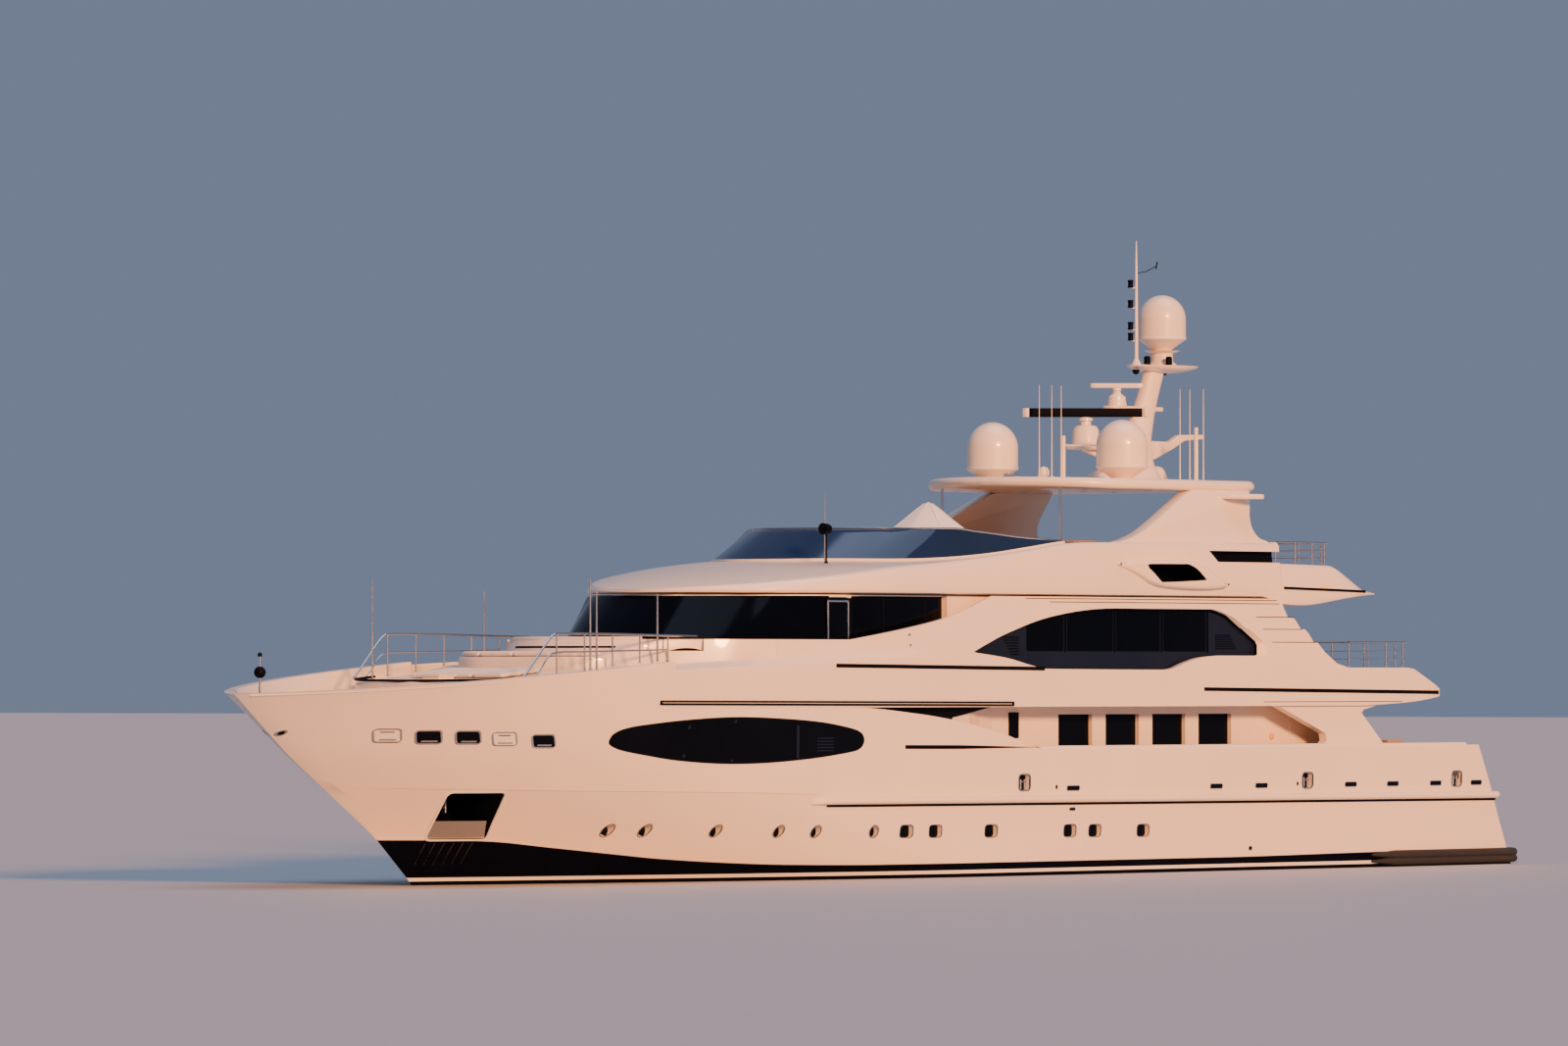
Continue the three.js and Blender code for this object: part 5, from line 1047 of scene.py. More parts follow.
def build_side_openings():
    """Rims and panes of the openings in the hull, on both sides. Openings whose insides lie in shadow get
    black plates, painted shade; the pale ones get a dark slit under their top, painted shade too.
    """
    def strip(start, end, low, high, lift, steps=8):
        return ribbon(np.linspace(start, end, steps), low, high, lift)

    pale, painted_shade_plates, rims, plates = [], [], [], []
    # A black plate stands for an opening whose inside lies in shadow: painted shade.
    for x, z, dark in BOW_OPENINGS:
        plate, edge = rimmed(leant(x, z, 0.3, 0.145, 0.2), 0.035, 0.026, 0.008, 0.04)
        (painted_shade_plates if dark else pale).append(plate)
        rims.append(edge)
        plates.append(strip(x + 0.12, x - 0.28, z - 0.12, z - 0.085, 0.02))
        # A dark slit under the top of a pale opening: painted shade.
        if not dark:
            painted_shade_plates.append(strip(x + 0.22, x - 0.12, z + 0.075, z + 0.1, 0.014))
    bars = [strip(x + 0.05, x - 0.05, z - tall, z + tall, 0.018, 3)
            for x, z, tall in ((12.3, 3.6, 0.4), (10.55, 3.61, 0.53), (8.0, 3.57, 0.42))]
    bars += [strip(7.2, 6.5, 3.33 + 0.08 * i, 3.36 + 0.08 * i, 0.02, 5) for i in range(5)]
    for x, z in MOORING_PORTS:
        y = half_breadth(x, z)
        rims.append(rim(mooring_port(x, z), 0.035, 0.022))
        rims += [pin(x + dx, y - 0.06, (z - 0.17, z + 0.08), 0.03, 10) for dx in (0.08, -0.08)]
        rims.append(rod([[x - 0.15, y - 0.05, z + 0.02], [x + 0.15, y - 0.05, z + 0.02]], 0.02))
    # The freeing slots, the scuppers and the small openings further down are black plates: painted shade in
    # place of holes.
    for x in FREEING_SLOTS:
        plate, edge = rimmed(leant(x, 2.295, 0.27, 0.055, radius=0.04), 0.02, 0.014, 0.006, 0.03, 3)
        painted_shade_plates.append(plate)
        rims.append(edge)
    painted_shade_plates += [patch(oval([x, 2.33], [0.04, 0.06], 2, 12), 0.01, 0.03, 2) for x in SCUPPERS]
    rims += [rim(round_port(x, z), 0.028, 0.014) for x, z in ROUND_PORTS]
    rims += [rim(square_port(x, z), 0.022, 0.01) for x, z in SQUARE_PORTS]
    for outline, width, lift, plate_lift in (
            (oval([-11.95, 0.6], [0.07, 0.05], 2, 16), 0.018, 0.016, 0.008),
            (leant(-3.82, 1.74, 0.12, 0.03, radius=0.02), 0.018, 0.016, 0.008),
            (oval([23.2, 3.85], [0.06, 0.045], 2, 16), 0.03, 0.03, 0.01)):
        plate, edge = rimmed(outline, width, lift, plate_lift, 0.04, 3)
        painted_shade_plates.append(plate)
        rims.append(edge)
    piece("bow_openings_pale", both(*pale), "stripe", angle=40)
    piece("side_openings", both(*painted_shade_plates, moved(together(*bars), shade=1)), ["dark", "navy"], angle=40)
    piece("opening_rims", both(*rims, *plates), "steel", angle=50)
    piece("lens_windows", both(patch(bent(LENS, 5, closed=True), 0.012, 0.05, 10)), "glass", angle=40)


def build_anchor_pockets():
    """A pale rim round each pocket, a steel plate over its lower part, and a roller in its dark upper
    part."""
    piece("anchor_pocket_rims", both(rim(rounded(POCKET, 0.12, 5), 0.045, 0.03)), "stripe", angle=40)
    z = np.linspace(1.18, 1.62, 5)[:, None]
    fore, aft = (np.interp(z, [1.16, 2.33], edge) for edge in ([16.57, 17.0], [18.12, 18.45]))
    x = fore + 0.02 + (aft - fore - 0.04) * np.linspace(0, 1, 12)
    plate = grid_of(x, half_breadth(x, z) - 0.03 - 0.32 * (z - 1.18), z)
    roller = rod([[17.95, 0.5, 1.98], [17.35, 0.5, 1.98]], 0.09, 14)
    cheeks = [block([x - 0.04, x + 0.04], [0.3, 0.62], [1.8, 2.16], 0.02) for x in (17.99, 17.31)]
    piece("anchor_pocket_plates", both(thick(plate, plate - [0, 0.06, 0]), roller, *cheeks), "steel",
          angle=40)
    z = 0.53 + 0.54 * np.linspace(0, 1, 10)
    strips = [rod(grid_of(x, half_breadth(x, z) + 0.004, z), 0.015, 6, across=(1, 0, 0))
              for x in 18.05 - 0.24 * np.arange(6)]
    piece("chafe_strips", both(*strips), "rubber")


def build_side_lines():
    """Stripes and grooves along the hull and the upper deck's sides. The grooves are dark lines of painted
    shade, a dark wedge above the bulwark is painted shade under the overhang, and a dark line under the rub
    strake is painted shadow.
    """
    dark = [level_line((13.5, 4.585), (-1.22, 4.53), 0.12, side_of_upper, 0.035),
            level_line((6.39, 5.53), (-2.6, 5.455), 0.1, side_of_upper),
            level_line((-9.73, 4.91), (-20.85, 4.81), 0.1, side_of_upper),
            level_line((3.46, 3.42), (-2.36, 3.385), 0.1, half_breadth, point=0.6),
            level_line((-12.47, 4.56), (-19.0, 4.56), 0.018, side_of_upper, 0.006)]
    # These thin dark lines stand for grooves: their dark is painted shade inside them, not a cut.
    dark += [level_line((start, z), (end, z), 0.02, side_of_upper, 0.006)
             for z, start, end in ((7.31, -1.9, -13.2), (7.22, -2.95, -13.3), (6.86, -12.2, -13.95),
                                   (6.53, -12.5, -14.3), (6.18, -12.9, -14.95))]
    dark.append(level_line((-13.6, 7.66), (-17.62, 7.585), 0.07, sundeck_half))
    # A dark wedge in the gap between the bulwark's top and the upper deck's overhang: painted shade over the
    # side deck beneath.
    dark.append(side_slab(np.array([[5.3, 4.448], [3.0, 4.26], [1.0, 4.03], [1.0, 4.17], [-0.7, 4.448]]),
                          4.08, 4.116))
    piece("side_stripes_and_shade_lines", both(*dark), "dark")
    core = level_line((13.44, 4.585), (-1.1, 4.53), 0.012, side_of_upper, 0.041)
    piece("side_stripe_cores", both(core), "stripe")
    xs = np.linspace(7.2, -23.75, 160)
    z = np.interp(xs, [-23.85, 7.2], [1.95, 2.05])
    grown = np.clip((7.2 - xs) / 0.5, 0.05, 1)[:, None]
    out = np.array([0, 0.1, 0.155, 0.165, 0.155, 0.1, 0, -0.05, -0.05]) * grown
    rise = np.array([-0.1, -0.09, -0.05, 0.0, 0.05, 0.09, 0.1, 0.1, -0.1])
    grid = grid_of(xs[:, None], half_breadth(xs, z)[:, None] + out, z[:, None] + rise)
    twins("rub_strake", tube(grid), "paint", angle=50)
    # The dark line under the rub strake is painted shadow: the shade that the strake casts on the side.
    piece("rub_strake_shadow_lines", both(ribbon(xs[3:], z[3:] - 0.16, z[3:] - 0.1, 0.03)), "dark")


def build_caps():
    """Rounded caps along the sheer of the bow and the bulwarks aft, the bow's 0.35 as tall as a round
    bar."""
    xs = np.concatenate([np.linspace(24.35, 22, 20, endpoint=False), np.linspace(22, 13.0, 40)])
    z = sheer_z(xs)
    bow = rod(grid_of(xs, np.maximum(half_breadth(xs, z) - 0.12, 0.05), z), 0.12, 10)
    middle = np.repeat(z, 10)
    bow[0][:, 2] = middle + (bow[0][:, 2] - middle) * 0.35
    xs = np.linspace(-2.3, -24.0, 50)
    xs = xs[xs > -22.6]
    aft = rod(grid_of(xs, half_breadth(xs, BULWARK) - 0.08, BULWARK), 0.075, 10)
    piece("sheer_caps", both(bow, aft), "stripe", angle=50)


def build_arch_windows():
    """A navy panel behind each arched opening, with darker panes, their mullions and louvres at both
    ends."""
    def face(x, z):
        return 4.12 + 0 * x

    panel = side_slab(rounded([[1.0, 5.2], [0.9, 6.2], [-2.5, 7.3], [-12.45, 7.3], [-12.7, 5.3],
                               [-12.0, 5.0]], 0.2), 3.99, 4.12)
    panes = [side_slab(leant((fore + aft) / 2, 6.51, (fore - aft) / 2, 0.59, radius=0.06), 4.11, 4.128)
             for fore, aft in ((-2.2, -3.82), (-3.98, -6.01), (-6.17, -8.12), (-8.28, -10.19))]
    bars = [block([x - 0.035, x + 0.035], [4.11, 4.14], [5.9, 7.1], 0.005)
            for x in (-3.9, -6.09, -8.2, -10.27)]
    for i in range(7):
        fore_z, aft_z = 6.28 - 0.075 * i, 6.36 - 0.06 * i
        bars.append(level_line((-1.15 - 0.06 * i, fore_z), (-1.85, fore_z), 0.03, face))
        bars.append(level_line((-10.62, aft_z), (-11.3 - 0.05 * i, aft_z), 0.026, face))
    piece("arch_window_panels", both(panel), "navy")
    piece("arch_window_panes", both(*panes), "glass")
    piece("arch_window_bars", both(*bars), "boot")
    studs = [turned([[0, 0], [0.045, 0], [0.03, 0.05], [0, 0.055]], (x, 4.41, z), 14, axis=1)
             for x, z in ((3.24, 6.33), (3.2, 6.06))]
    piece("side_fittings", both(*studs), "steel")


def build_side_decks():
    """What stands in the covered side decks: louvres, wall lights, ceiling lights and a narrow window."""
    slats = [block([-15.95, -15.07], [3.4, 3.425], [3.36 + 0.075 * i, 3.4 + 0.075 * i], 0.004)
             for i in range(12)]
    slats += [block([x, x + 0.05], [3.4, 3.44], [3.3, 4.3], 0.006) for x in (-16.0, -15.07)]
    piece("side_deck_louvres", both(*slats), "paint")
    piece("side_deck_windows", both(side_slab(leant(-2.55, 3.96, 0.19, 0.34, radius=0.03), 3.38, 3.46)),
          "glass")
    lights = [disc(0.075, 0.012, (x, 3.78, 4.437)) for x in np.arange(-3.2, -15, -1.45)]
    lights.append(turned([[0, 0], [0.09, 0], [0.085, 0.05], [0.05, 0.075], [0, 0.08]], (-14.2, 3.4, 3.62), 16,
                         axis=1))
    piece("side_deck_lights", both(*lights), "lamp")


def posts(places, feet, top, radius=0.02):
    """Upright posts at each (x, y), from the foot's height to the top's, each on a small flange."""
    made = []
    for (x, y), low in zip(places, np.broadcast_to(feet, len(places))):
        made.append(pin(x, y, (low, top), radius))
        made.append(turned([[0, 0], [radius * 2.4, 0], [radius * 2.2, 0.015], [radius * 1.1, 0.03],
                            [0, 0.03]], (x, y, low), 12))
    return made


def aft_rail(plan, z, drops):
    """A thick top rail along a smooth plan line, and thinner ones below it."""
    top = grid_of(*bent(plan, 6).T, z)
    return [rod(top, 0.028, 10)] + [rod(top - [0, 0, drop], 0.014, 6) for drop in drops]


def build_rails():
    y = 2.8
    foot_line = [[16.9, 5.17], [15.6, 5.26], [14.5, 5.375], [13.4, 5.53], [12.3, 5.6], [11.17, 5.66]]
    top, middle = (bent(line, 6) for line in (
        [[16.92, 5.2], [16.55, 5.55], [15.95, 6.13], [15.72, 6.29], [15.5, 6.325], [14.5, 6.33],
         [12.8, 6.315], [11.2, 6.29], [10.0, 6.275]],
        [[16.5, 5.2], [16.2, 5.45], [15.95, 5.72], [15.6, 5.85], [14.5, 5.87], [12.8, 5.9], [11.17, 5.93]]))
    xs = np.array([15.6, 14.5, 13.39, 12.3, 11.17])
    rail = [rod(grid_of(line[:, 0], y, line[:, 1]), radius, sides)
            for line, radius, sides in ((top, 0.03, 10), (middle, 0.02, 8))]
    rail += posts(grid_of(xs, y), soft(foot_line, xs) - 0.01, 6.31, 0.022)
    twins("foredeck_rail", together(*rail), "steel", angle=60)
    rail = aft_rail([[-16.6, 4.3], [-18, 4.3], [-19.3, 4.2], [-19.75, 3.95], [-19.95, 3.4], [-20.0, 2.5],
                     [-20.02, 0]], 6.19, (0.24, 0.46))
    rail += posts([[-16.6, 4.3], [-17.5, 4.3], [-18.4, 4.28], [-19.3, 4.2], [-19.93, 3.5], [-20, 2.4],
                   [-20.01, 1.3]], 5.48, 6.18)
    piece("upper_aft_rail_form", both(*rail), "steel", ["upper_aft_rail"], angle=60)
    rail = aft_rail([[-13.7, 3.92], [-15.0, 3.92], [-15.9, 3.9], [-16.35, 3.75], [-16.55, 3.4], [-16.62, 2.6],
                     [-16.64, 0]], 8.91, (0.2, 0.4))
    rail += posts([[-16.55, 3.4], [-16.62, 2.6], [-16.63, 1.6], [-16.64, 0.5]], 7.83, 8.9, 0.022)
    rail += posts([[-13.7, 3.92], [-14.6, 3.92], [-15.4, 3.92], [-16.05, 3.86]], 8.29, 8.9, 0.022)
    piece("sundeck_rail_form", both(*rail), "steel", ["sundeck_rail"], angle=60)
    poles = [(16.2, -y, 5.1, 7.7), (11.79, -y, 5.6, 7.43), (14.27, y, 5.37, 7.7), (14.02, y, 5.4, 7.5),
             (11.59, y, 5.62, 7.35)]
    poles = [pin(x, side, (low, (low + high) / 2, high), [0.03, 0.024, 0.018])
             for x, side, low, high in poles]
    piece("foredeck_poles", together(*poles), "steel", angle=60)


def build_hardtop_gear():
    """Whip aerials, their posts, a small dome and horns on the hardtop."""
    top = 10.55
    gear = [pin(x, y, (top, top + 0.5, 12.4, 13.1), [0.02, 0.015, 0.01, 0.006])
            for x, y in ((-7.02, 0.9), (-7.58, 0.9), (-8.0, 0.9), (-12.6, 1.5), (-13.0, 1.54), (-13.2, 1.85))]
    gear += [pin(x, y, (top, high), 0.055, 12) for x, y, high in ((-8.1, 0.9, 11.75), (-13.0, 1.75, 12.05))]
    gear += [turned([[0, 0], [0.12, 0], [0.1, 0.04], [0.05, 0.1], [0, 0.1]], (x, y, top), 14)
             for x, y in ((-8.1, 0.9), (-13.0, 1.75), (-7.02, 0.9), (-7.58, 0.9))]
    gear.append(rod([[-8.1, 0.9, 11.5], [-9.2, 0.5, 11.5], [-9.9, 0.2, 11.5]], 0.03))
    gear.append(turned([[0, 0], [0.06, 0], [0.06, 0.08], [0.15, 0.14], [0.15, 0.26], [0.1, 0.34], [0, 0.38]],
                       (-7.75, 0.5, top), 18))
    piece("hardtop_aerials", together(*gear), "paint", angle=60)
    horns = [turned([[0, 0], [0.035, 0], [0.04, 0.2], [0.09, 0.3], [0, 0.28]], (-6.95, y, top + 0.1), 14,
                    axis=0) for y in (0.25, 0.05)]
    horns.append(block([-6.95, -6.75], [0, 0.32], [top, top + 0.08], 0.02))
    piece("hardtop_horns", together(*horns), "steel", angle=50)
    piece("hardtop_struts", both(pin(-6.5, 2.0, (SUNDECK_FLOOR + 0.003, 10.33), 0.04, 10)), "steel")


def build_aerial_mast():
    """The thin mast with its lamps: each lamp a turned body held off the pole by a bracket."""
    x, deck = -12.62, 13.79
    pole = pin(x, 0, (deck, 15, 16.4, 17.18), [0.055, 0.045, 0.035, 0.012], 12)
    foot = turned([[0, 0], [0.14, 0], [0.12, 0.05], [0.06, 0.16], [0, 0.16]], (x, 0, deck), 16)
    heights = (14.45, 14.75, 15.35, 15.9)
    brackets = [rod([[x, 0, z], [x + 0.13, -0.1, z]], 0.018, 6) for z in heights]
    lamps = [turned([[0, 0], [0.075, 0], [0.085, 0.02], [0.07, 0.04], [0.07, 0.16], [0.085, 0.18],
                     [0.075, 0.21], [0, 0.22]], (x + 0.13, -0.1, z), 16) for z in heights]
    lamps.append(rod([[x, 0, 16.3], [x - 0.25, 0.15, 16.35], [x - 0.5, 0.3, 16.5]], 0.012, 6))
    lamps.append(rod([[x - 0.5, 0.3, 16.42], [x - 0.53, 0.32, 16.62]], 0.02, 6, across=(1, 0, 0)))
    piece("aerial_mast_form", together(pole, foot, *brackets, moved(together(*lamps), shade=1)),
          ["paint", "dark"], ["aerial_mast"], angle=50)
    lamps = [turned([[0, 0], [0.09, 0], [0.09, 0.2], [0.06, 0.24], [0, 0.24]], (x, y, deck), 14)
             for x, y in ((-12.85, 0.2), (-13.5, 0.46), (-14.5, -0.3))]
    lamps += [turned([[0, 0], [0.06, 0.02], [0.1, 0.09], [0.1, 0.14], [0, 0.14]], (x, 0, 13.52), 14)
              for x in (-12.6, -13.9)]
    piece("mast_top_lamps", together(*lamps), "dark", angle=50)


TRUNK = [[13.02, 2.95, 5.58], [14.6, 2.93, 5.36], [16.0, 2.88, 5.22], [16.95, 2.7, 5.16], [17.5, 2.2, 5.13],
         [17.85, 1.4, 5.12], [18.0, 0.6, 5.11]]


def trunk_top(x):
    return soft([[x_, z] for x_, _, z in TRUNK], x)


def trunk_half(x):
    return soft([[x_, h] for x_, h, _ in TRUNK[:5]] + [[17.8, 1.55], [17.99, 0.4]], x)


def build_trunk():
    """The trunk: each station a rounded section, its half-breadth and height from the table. A belt runs
    round its fore end, a seat's base stands against the bridge's bulwark, and a hatch lies on it."""
    xs = np.concatenate([np.linspace(13.03, 17.3, 30), 17.3 + 0.69 * np.sin(np.linspace(0.1, np.pi / 2, 14))])
    half, top, foot = trunk_half(xs), trunk_top(xs), FOREDECK + 0.001
    rows = [(0, foot), (half - 0.02, foot), (half, 4.54), (half, top - 0.16)]
    for angle in np.linspace(0.2, np.pi / 2, 5):
        rows.append((half - 0.13 * (1 - math.cos(angle)), top - 0.16 + 0.12 * math.sin(angle)))
    for share in (0.85, 0.5, 0.2, 0):
        rows.append(((half - 0.13) * share, top - 0.04 + 0.045 * (1 - share ** 2)))
    seat = np.concatenate([bent([[14.15, 0], [14.05, 1.2], [13.7, 2.0], [13.2, 2.45]], 5), [[13.04, 2.45]]])
    hatch_z = trunk_top(16.6)
    body = together(across(section(xs, rows), [0] * (len(rows) - 1)),
                    slab(twinned(seat, 0, 1), 5.0, 5.75, 0.05),
                    block([16.6, 17.2], [-0.3, 0.3], [5.0, hatch_z + 0.06], 0.03))
    piece("foredeck_trunk_form", body, "paint", ["foredeck_trunk"], angle=40)
    side_x = np.linspace(13.1, 17.2, 30)
    side_x = side_x[side_x > 16.0]
    round_x = 17.2 + 0.785 * np.sin(np.linspace(0, np.pi / 2, 16))[1:]
    belt = np.concatenate([grid_of(side_x, trunk_half(side_x) - 0.046, trunk_top(side_x) + 0.03),
                           grid_of(round_x - 0.04, trunk_half(round_x), trunk_top(round_x) + 0.03)])
    piece("trunk_belt", rod(twinned(belt), 0.034), "dark")
    lid = block([16.55, 17.25], [-0.35, 0.35], [hatch_z + 0.073, hatch_z + 0.12], 0.02)
    pane = block([16.63, 17.17], [-0.27, 0.27], [hatch_z + 0.112, hatch_z + 0.126], 0.01)
    piece("hatch_lid_form", together(lid, moved(pane, shade=1)), ["paint", "glass"], ["hatch_lid"],
          "hatch_lid")


def build_foredeck():
    """Steps beside the trunk, bollards, windlasses and the jackstaff with its ball."""
    treads = [block([17.55 - 0.3 * i, 18.1 - 0.3 * i], [2.2 + 0.02 * i, 2.75], [4.501, 4.63 + 0.13 * i],
                    0.03) for i in range(4)]
    piece("foredeck_steps", both(*treads), "paint")
    bollards = []
    for x, y, z in ((20.2, 1.2, WINDLASS_DECK), (17.6, 3.2, FOREDECK)):
        bollards += [turned([[0, 0], [0.075, 0], [0.07, 0.03], [0.06, 0.22], [0.095, 0.26], [0.095, 0.3],
                             [0, 0.31]], (x + dx, y, z), 16) for dx in (-0.16, 0.16)]
        bollards.append(block([x - 0.3, x + 0.3], [y - 0.1, y + 0.1], [z, z + 0.03], 0.02))
    piece("bollards", both(*bollards), "steel", angle=50)
    drum = turned([[0, 0], [0.2, 0], [0.2, 0.04], [0.15, 0.08], [0.15, 0.26], [0.19, 0.3], [0.21, 0.34],
                   [0.21, 0.38], [0.17, 0.41], [0.125, 0.44], [0.11, 0.5], [0.115, 0.58], [0.17, 0.63],
                   [0.195, 0.65], [0.195, 0.69], [0.1, 0.705], [0, 0.705]],
                  (21.65, 0.8, WINDLASS_DECK + 0.1), 28)
    bed = block([21.31, 21.99], [0.56, 1.04], [WINDLASS_DECK + 0.001, WINDLASS_DECK + 0.12], 0.03)
    twins("windlass", together(drum, bed), "steel", angle=50)
    x, foot = 23.7, FOREDECK + 0.001
    steel = [pin(x, 0, (foot, 5.2, 5.8), [0.035, 0.03, 0.024], 10),
             turned([[0, 0], [0.1, 0], [0.09, 0.03], [0.04, 0.08], [0, 0.08]], (x, 0, foot), 16)]
    cap = turned([[0, 0], [0.05, 0], [0.055, 0.03], [0.05, 0.08], [0.02, 0.1], [0, 0.1]], (x, 0, 5.74), 14)
    piece("jackstaff_form", together(moved(together(*steel), shade=1), cap, ball((x, 0.0, 5.35), 0.148, 24)),
          ["dark", "steel"], ["jackstaff"], angle=50)


def build_searchlight():
    low = roof_z(np.array([4.4]), np.array([2.54]))[0] + 0.03
    post = turned([[0, 0], [0.055, 0], [0.05, 0.03], [0.025, 0.06], [0.022, 0.74], [0.05, 0.78], [0.05, 0.8],
                   [0, 0.8]], (4.4, 2.6, low), 16)
    drum = turned([[0, 0], [0.07, 0.0], [0.11, 0.04], [0.135, 0.12], [0.14, 0.26], [0.15, 0.28], [0.15, 0.3],
                   [0.13, 0.3], [0.12, 0.29], [0, 0.29]], (4.25, 2.6, low + 0.9), 24, axis=0)
    hoop = ((2.46, 0.9), (2.46, 0.8), (2.6, 0.78), (2.74, 0.8), (2.74, 0.9))
    yoke = rod([[4.4, y, low + z] for y, z in hoop], 0.014, 6, across=(1, 0, 0))
    piece("searchlight_form", together(post, drum, yoke), "dark", ["searchlight"], "searchlight", angle=50)
    piece("roof_whip", pin(4.15, 2.35, (low - 0.03, 9.3, 10.0), [0.02, 0.014, 0.008], 6), "steel")


SPA_X = -3.3
SEAM = ((1.5, 0.99), (1.24, 1.19), (0.95, 1.415), (0.65, 1.645), (0.38, 1.86), (0.12, 2.045))


def folded_hood():
    """The peaked cover over the tub: at each height a ring whose radius swells and dips eight times round,
    most between the hem and the shoulder, closed by an inner skin a few millimetres behind it."""
    profile = bent([[1.5, 0.08], [1.53, 0.3], [1.54, 0.6], [1.56, 0.86], [1.5, 0.98], [1.25, 1.17],
                    [0.95, 1.4], [0.65, 1.63], [0.38, 1.84], [0.16, 2.0], [0.045, 2.07]], 4)
    angle = round_angles(96)
    share = np.linspace(0, 1, len(profile))[:, None]
    fold = (0.022 * np.sin(8 * angle) * np.sin(np.pi * np.clip(share * 1.1, 0, 1))
            + 0.012 * np.sin(24 * angle + 1) * (1 - share) ** 2)
    skins = []
    for inward in (0, 0.018):
        radius = profile[:, :1] - inward + fold * np.clip(profile[:, :1], 0, 1)
        skins.append(grid_of(SPA_X + radius * np.cos(angle), radius * np.sin(angle),
                             SUNDECK_FLOOR + profile[:, 1:] - inward * share))
    top = skins[0][-1:] * 0 + np.array([SPA_X, 0, SUNDECK_FLOOR + 2.085])
    return skin(np.concatenate([skins[0], top, top - [0, 0, 0.018], skins[1][::-1], skins[0][:1]]),
                around=True)


def build_spa():
    cover = piece("spa_cover_form", folded_hood(), "cover", ["spa_cover"], angle=50)
    tub = turned([[0, 0], [1.3, 0], [1.42, 0.05], [1.44, 0.82], [1.38, 0.88], [1.2, 0.86], [1.1, 0.5],
                  [0.05, 0.45], [0.05, 2.02], [0, 2.02]], (SPA_X, 0, SUNDECK_FLOOR + 0.002), 40)
    piece("spa_tub", tub, "paint", angle=40)
    seams = [rod([[SPA_X + r * math.cos(a), r * math.sin(a), SUNDECK_FLOOR + h] for r, h in SEAM], 0.009, 5)
             for a in round_angles(8) + 0.2]
    piece("spa_cover_seams", together(*seams), "cover")


# Cushions, deck furniture and running gear
def plump(name, body, cap=0.014, channels=None, stands_for=()):
    """A padded piece. Its plain pads are remeshed evenly and blown up as cloth under pressure, no point
    going farther than the cap; then sewn channels are pressed in, each a bell-shaped dip along its line."""
    work = placed(name, mesh_of(name, body))
    even = work.modifiers.new("even", "REMESH")
    even.mode = "VOXEL"
    even.voxel_size = 0.018
    graph = bpy.context.evaluated_depsgraph_get()
    mesh = bpy.data.meshes.new_from_object(work.evaluated_get(graph))
    work.modifiers.clear()
    work.data = mesh
    rest = values_of(mesh.vertices, "co", 3, float).reshape(-1, 3)
    swollen = rest.copy()
    cloth = work.modifiers.new("cloth", "CLOTH")
    cloth.settings.use_pressure = True
    cloth.settings.uniform_pressure_force = 4
    cloth.settings.quality = 4
    cloth.settings.effector_weights.gravity = 0
    for frame_number in range(1, 21):
        bpy.context.scene.frame_set(frame_number)
    blown = work.evaluated_get(bpy.context.evaluated_depsgraph_get()).data
    step = values_of(blown.vertices, "co", 3, float).reshape(-1, 3) - rest
    length = np.linalg.norm(step, axis=1, keepdims=True)
    swollen = rest + step * np.minimum(1, cap / np.maximum(length, 1e-9))
    work.modifiers.clear()
    bpy.context.scene.frame_set(1)
    if channels:
        pitch, deep = channels
        from_line = (swollen[:, 0] / MODEL) % pitch - pitch / 2
        above = swollen[:, 2] > rest[:, 2].min() + 0.02
        swollen[:, 2] -= deep * MODEL * np.exp(-(from_line / 0.035) ** 2) * above
    mesh.vertices.foreach_set("co", swollen.reshape(-1))
    mesh.materials.clear()
    mesh.materials.append(FINISHES["fabric"])
    mesh.shade_smooth()
    finer = work.modifiers.new("finer", "SUBSURF")
    finer.levels = finer.render_levels = 1
    settled(work, "ship", stands_for)


LOUNGERS = (-2.4, -1.2, 1.2, 2.4)


def build_cushions():
    """Pads on the trunk, on its seat, on the sofas aft and on the loungers."""
    pads = [block([14.64, 16.26], y, [0.02, 0.12], 0.04)
            for y in ([-1.57, -0.55], [-0.51, 0.51], [0.55, 1.57])]
    for points, _, _ in pads:
        points[:, 2] += trunk_top(points[:, 0])
    plump("sunpad_form", together(*pads), channels=(0.27, 0.025), stands_for=["sunpad"])
    pads = []
    for low, high in ((-2.3, -1.2), (-1.16, -0.02), (0.02, 1.16), (1.2, 2.3)):
        ys = np.linspace(low, high, 8)
        front = soft([[0, 14.05], [1.2, 13.96], [2.0, 13.6], [2.45, 13.12]], abs(ys))
        outline = np.concatenate([np.column_stack([front, ys]), [[13.1, high], [13.1, low]]])
        pads.append(slab(rounded(outline[::-1], 0.05, 3), 5.77, 5.87, 0.03))
    plump("lounge_cushion_form", together(*pads), stands_for=["lounge_cushion"])
    pads = [block(x, [y, y + 0.9], z, 0.04) for x, z in (([-22.1, -21.5], [2.83, 2.95]),
                                                         ([-22.28, -22.13], [2.98, 3.28]))
            for y in (-1.85, -0.92, 0.02, 0.95)]
    plump("aft_deck_cushions", together(*pads), 0.01)
    pads = [block([-19.75, -19.15], [y, y + 0.95], [5.33, 5.45], 0.04)
            for y in (-2.9, -1.93, -0.96, 0.01, 0.98, 1.95)]
    plump("upper_deck_cushions", together(*pads), 0.01)
    pads = [block([-16.0, -14.1], [y - 0.33, y + 0.33], [8.13, 8.22], 0.04) for y in LOUNGERS]
    plump("lounger_pads", together(*pads), 0.009, (0.4, 0.02))


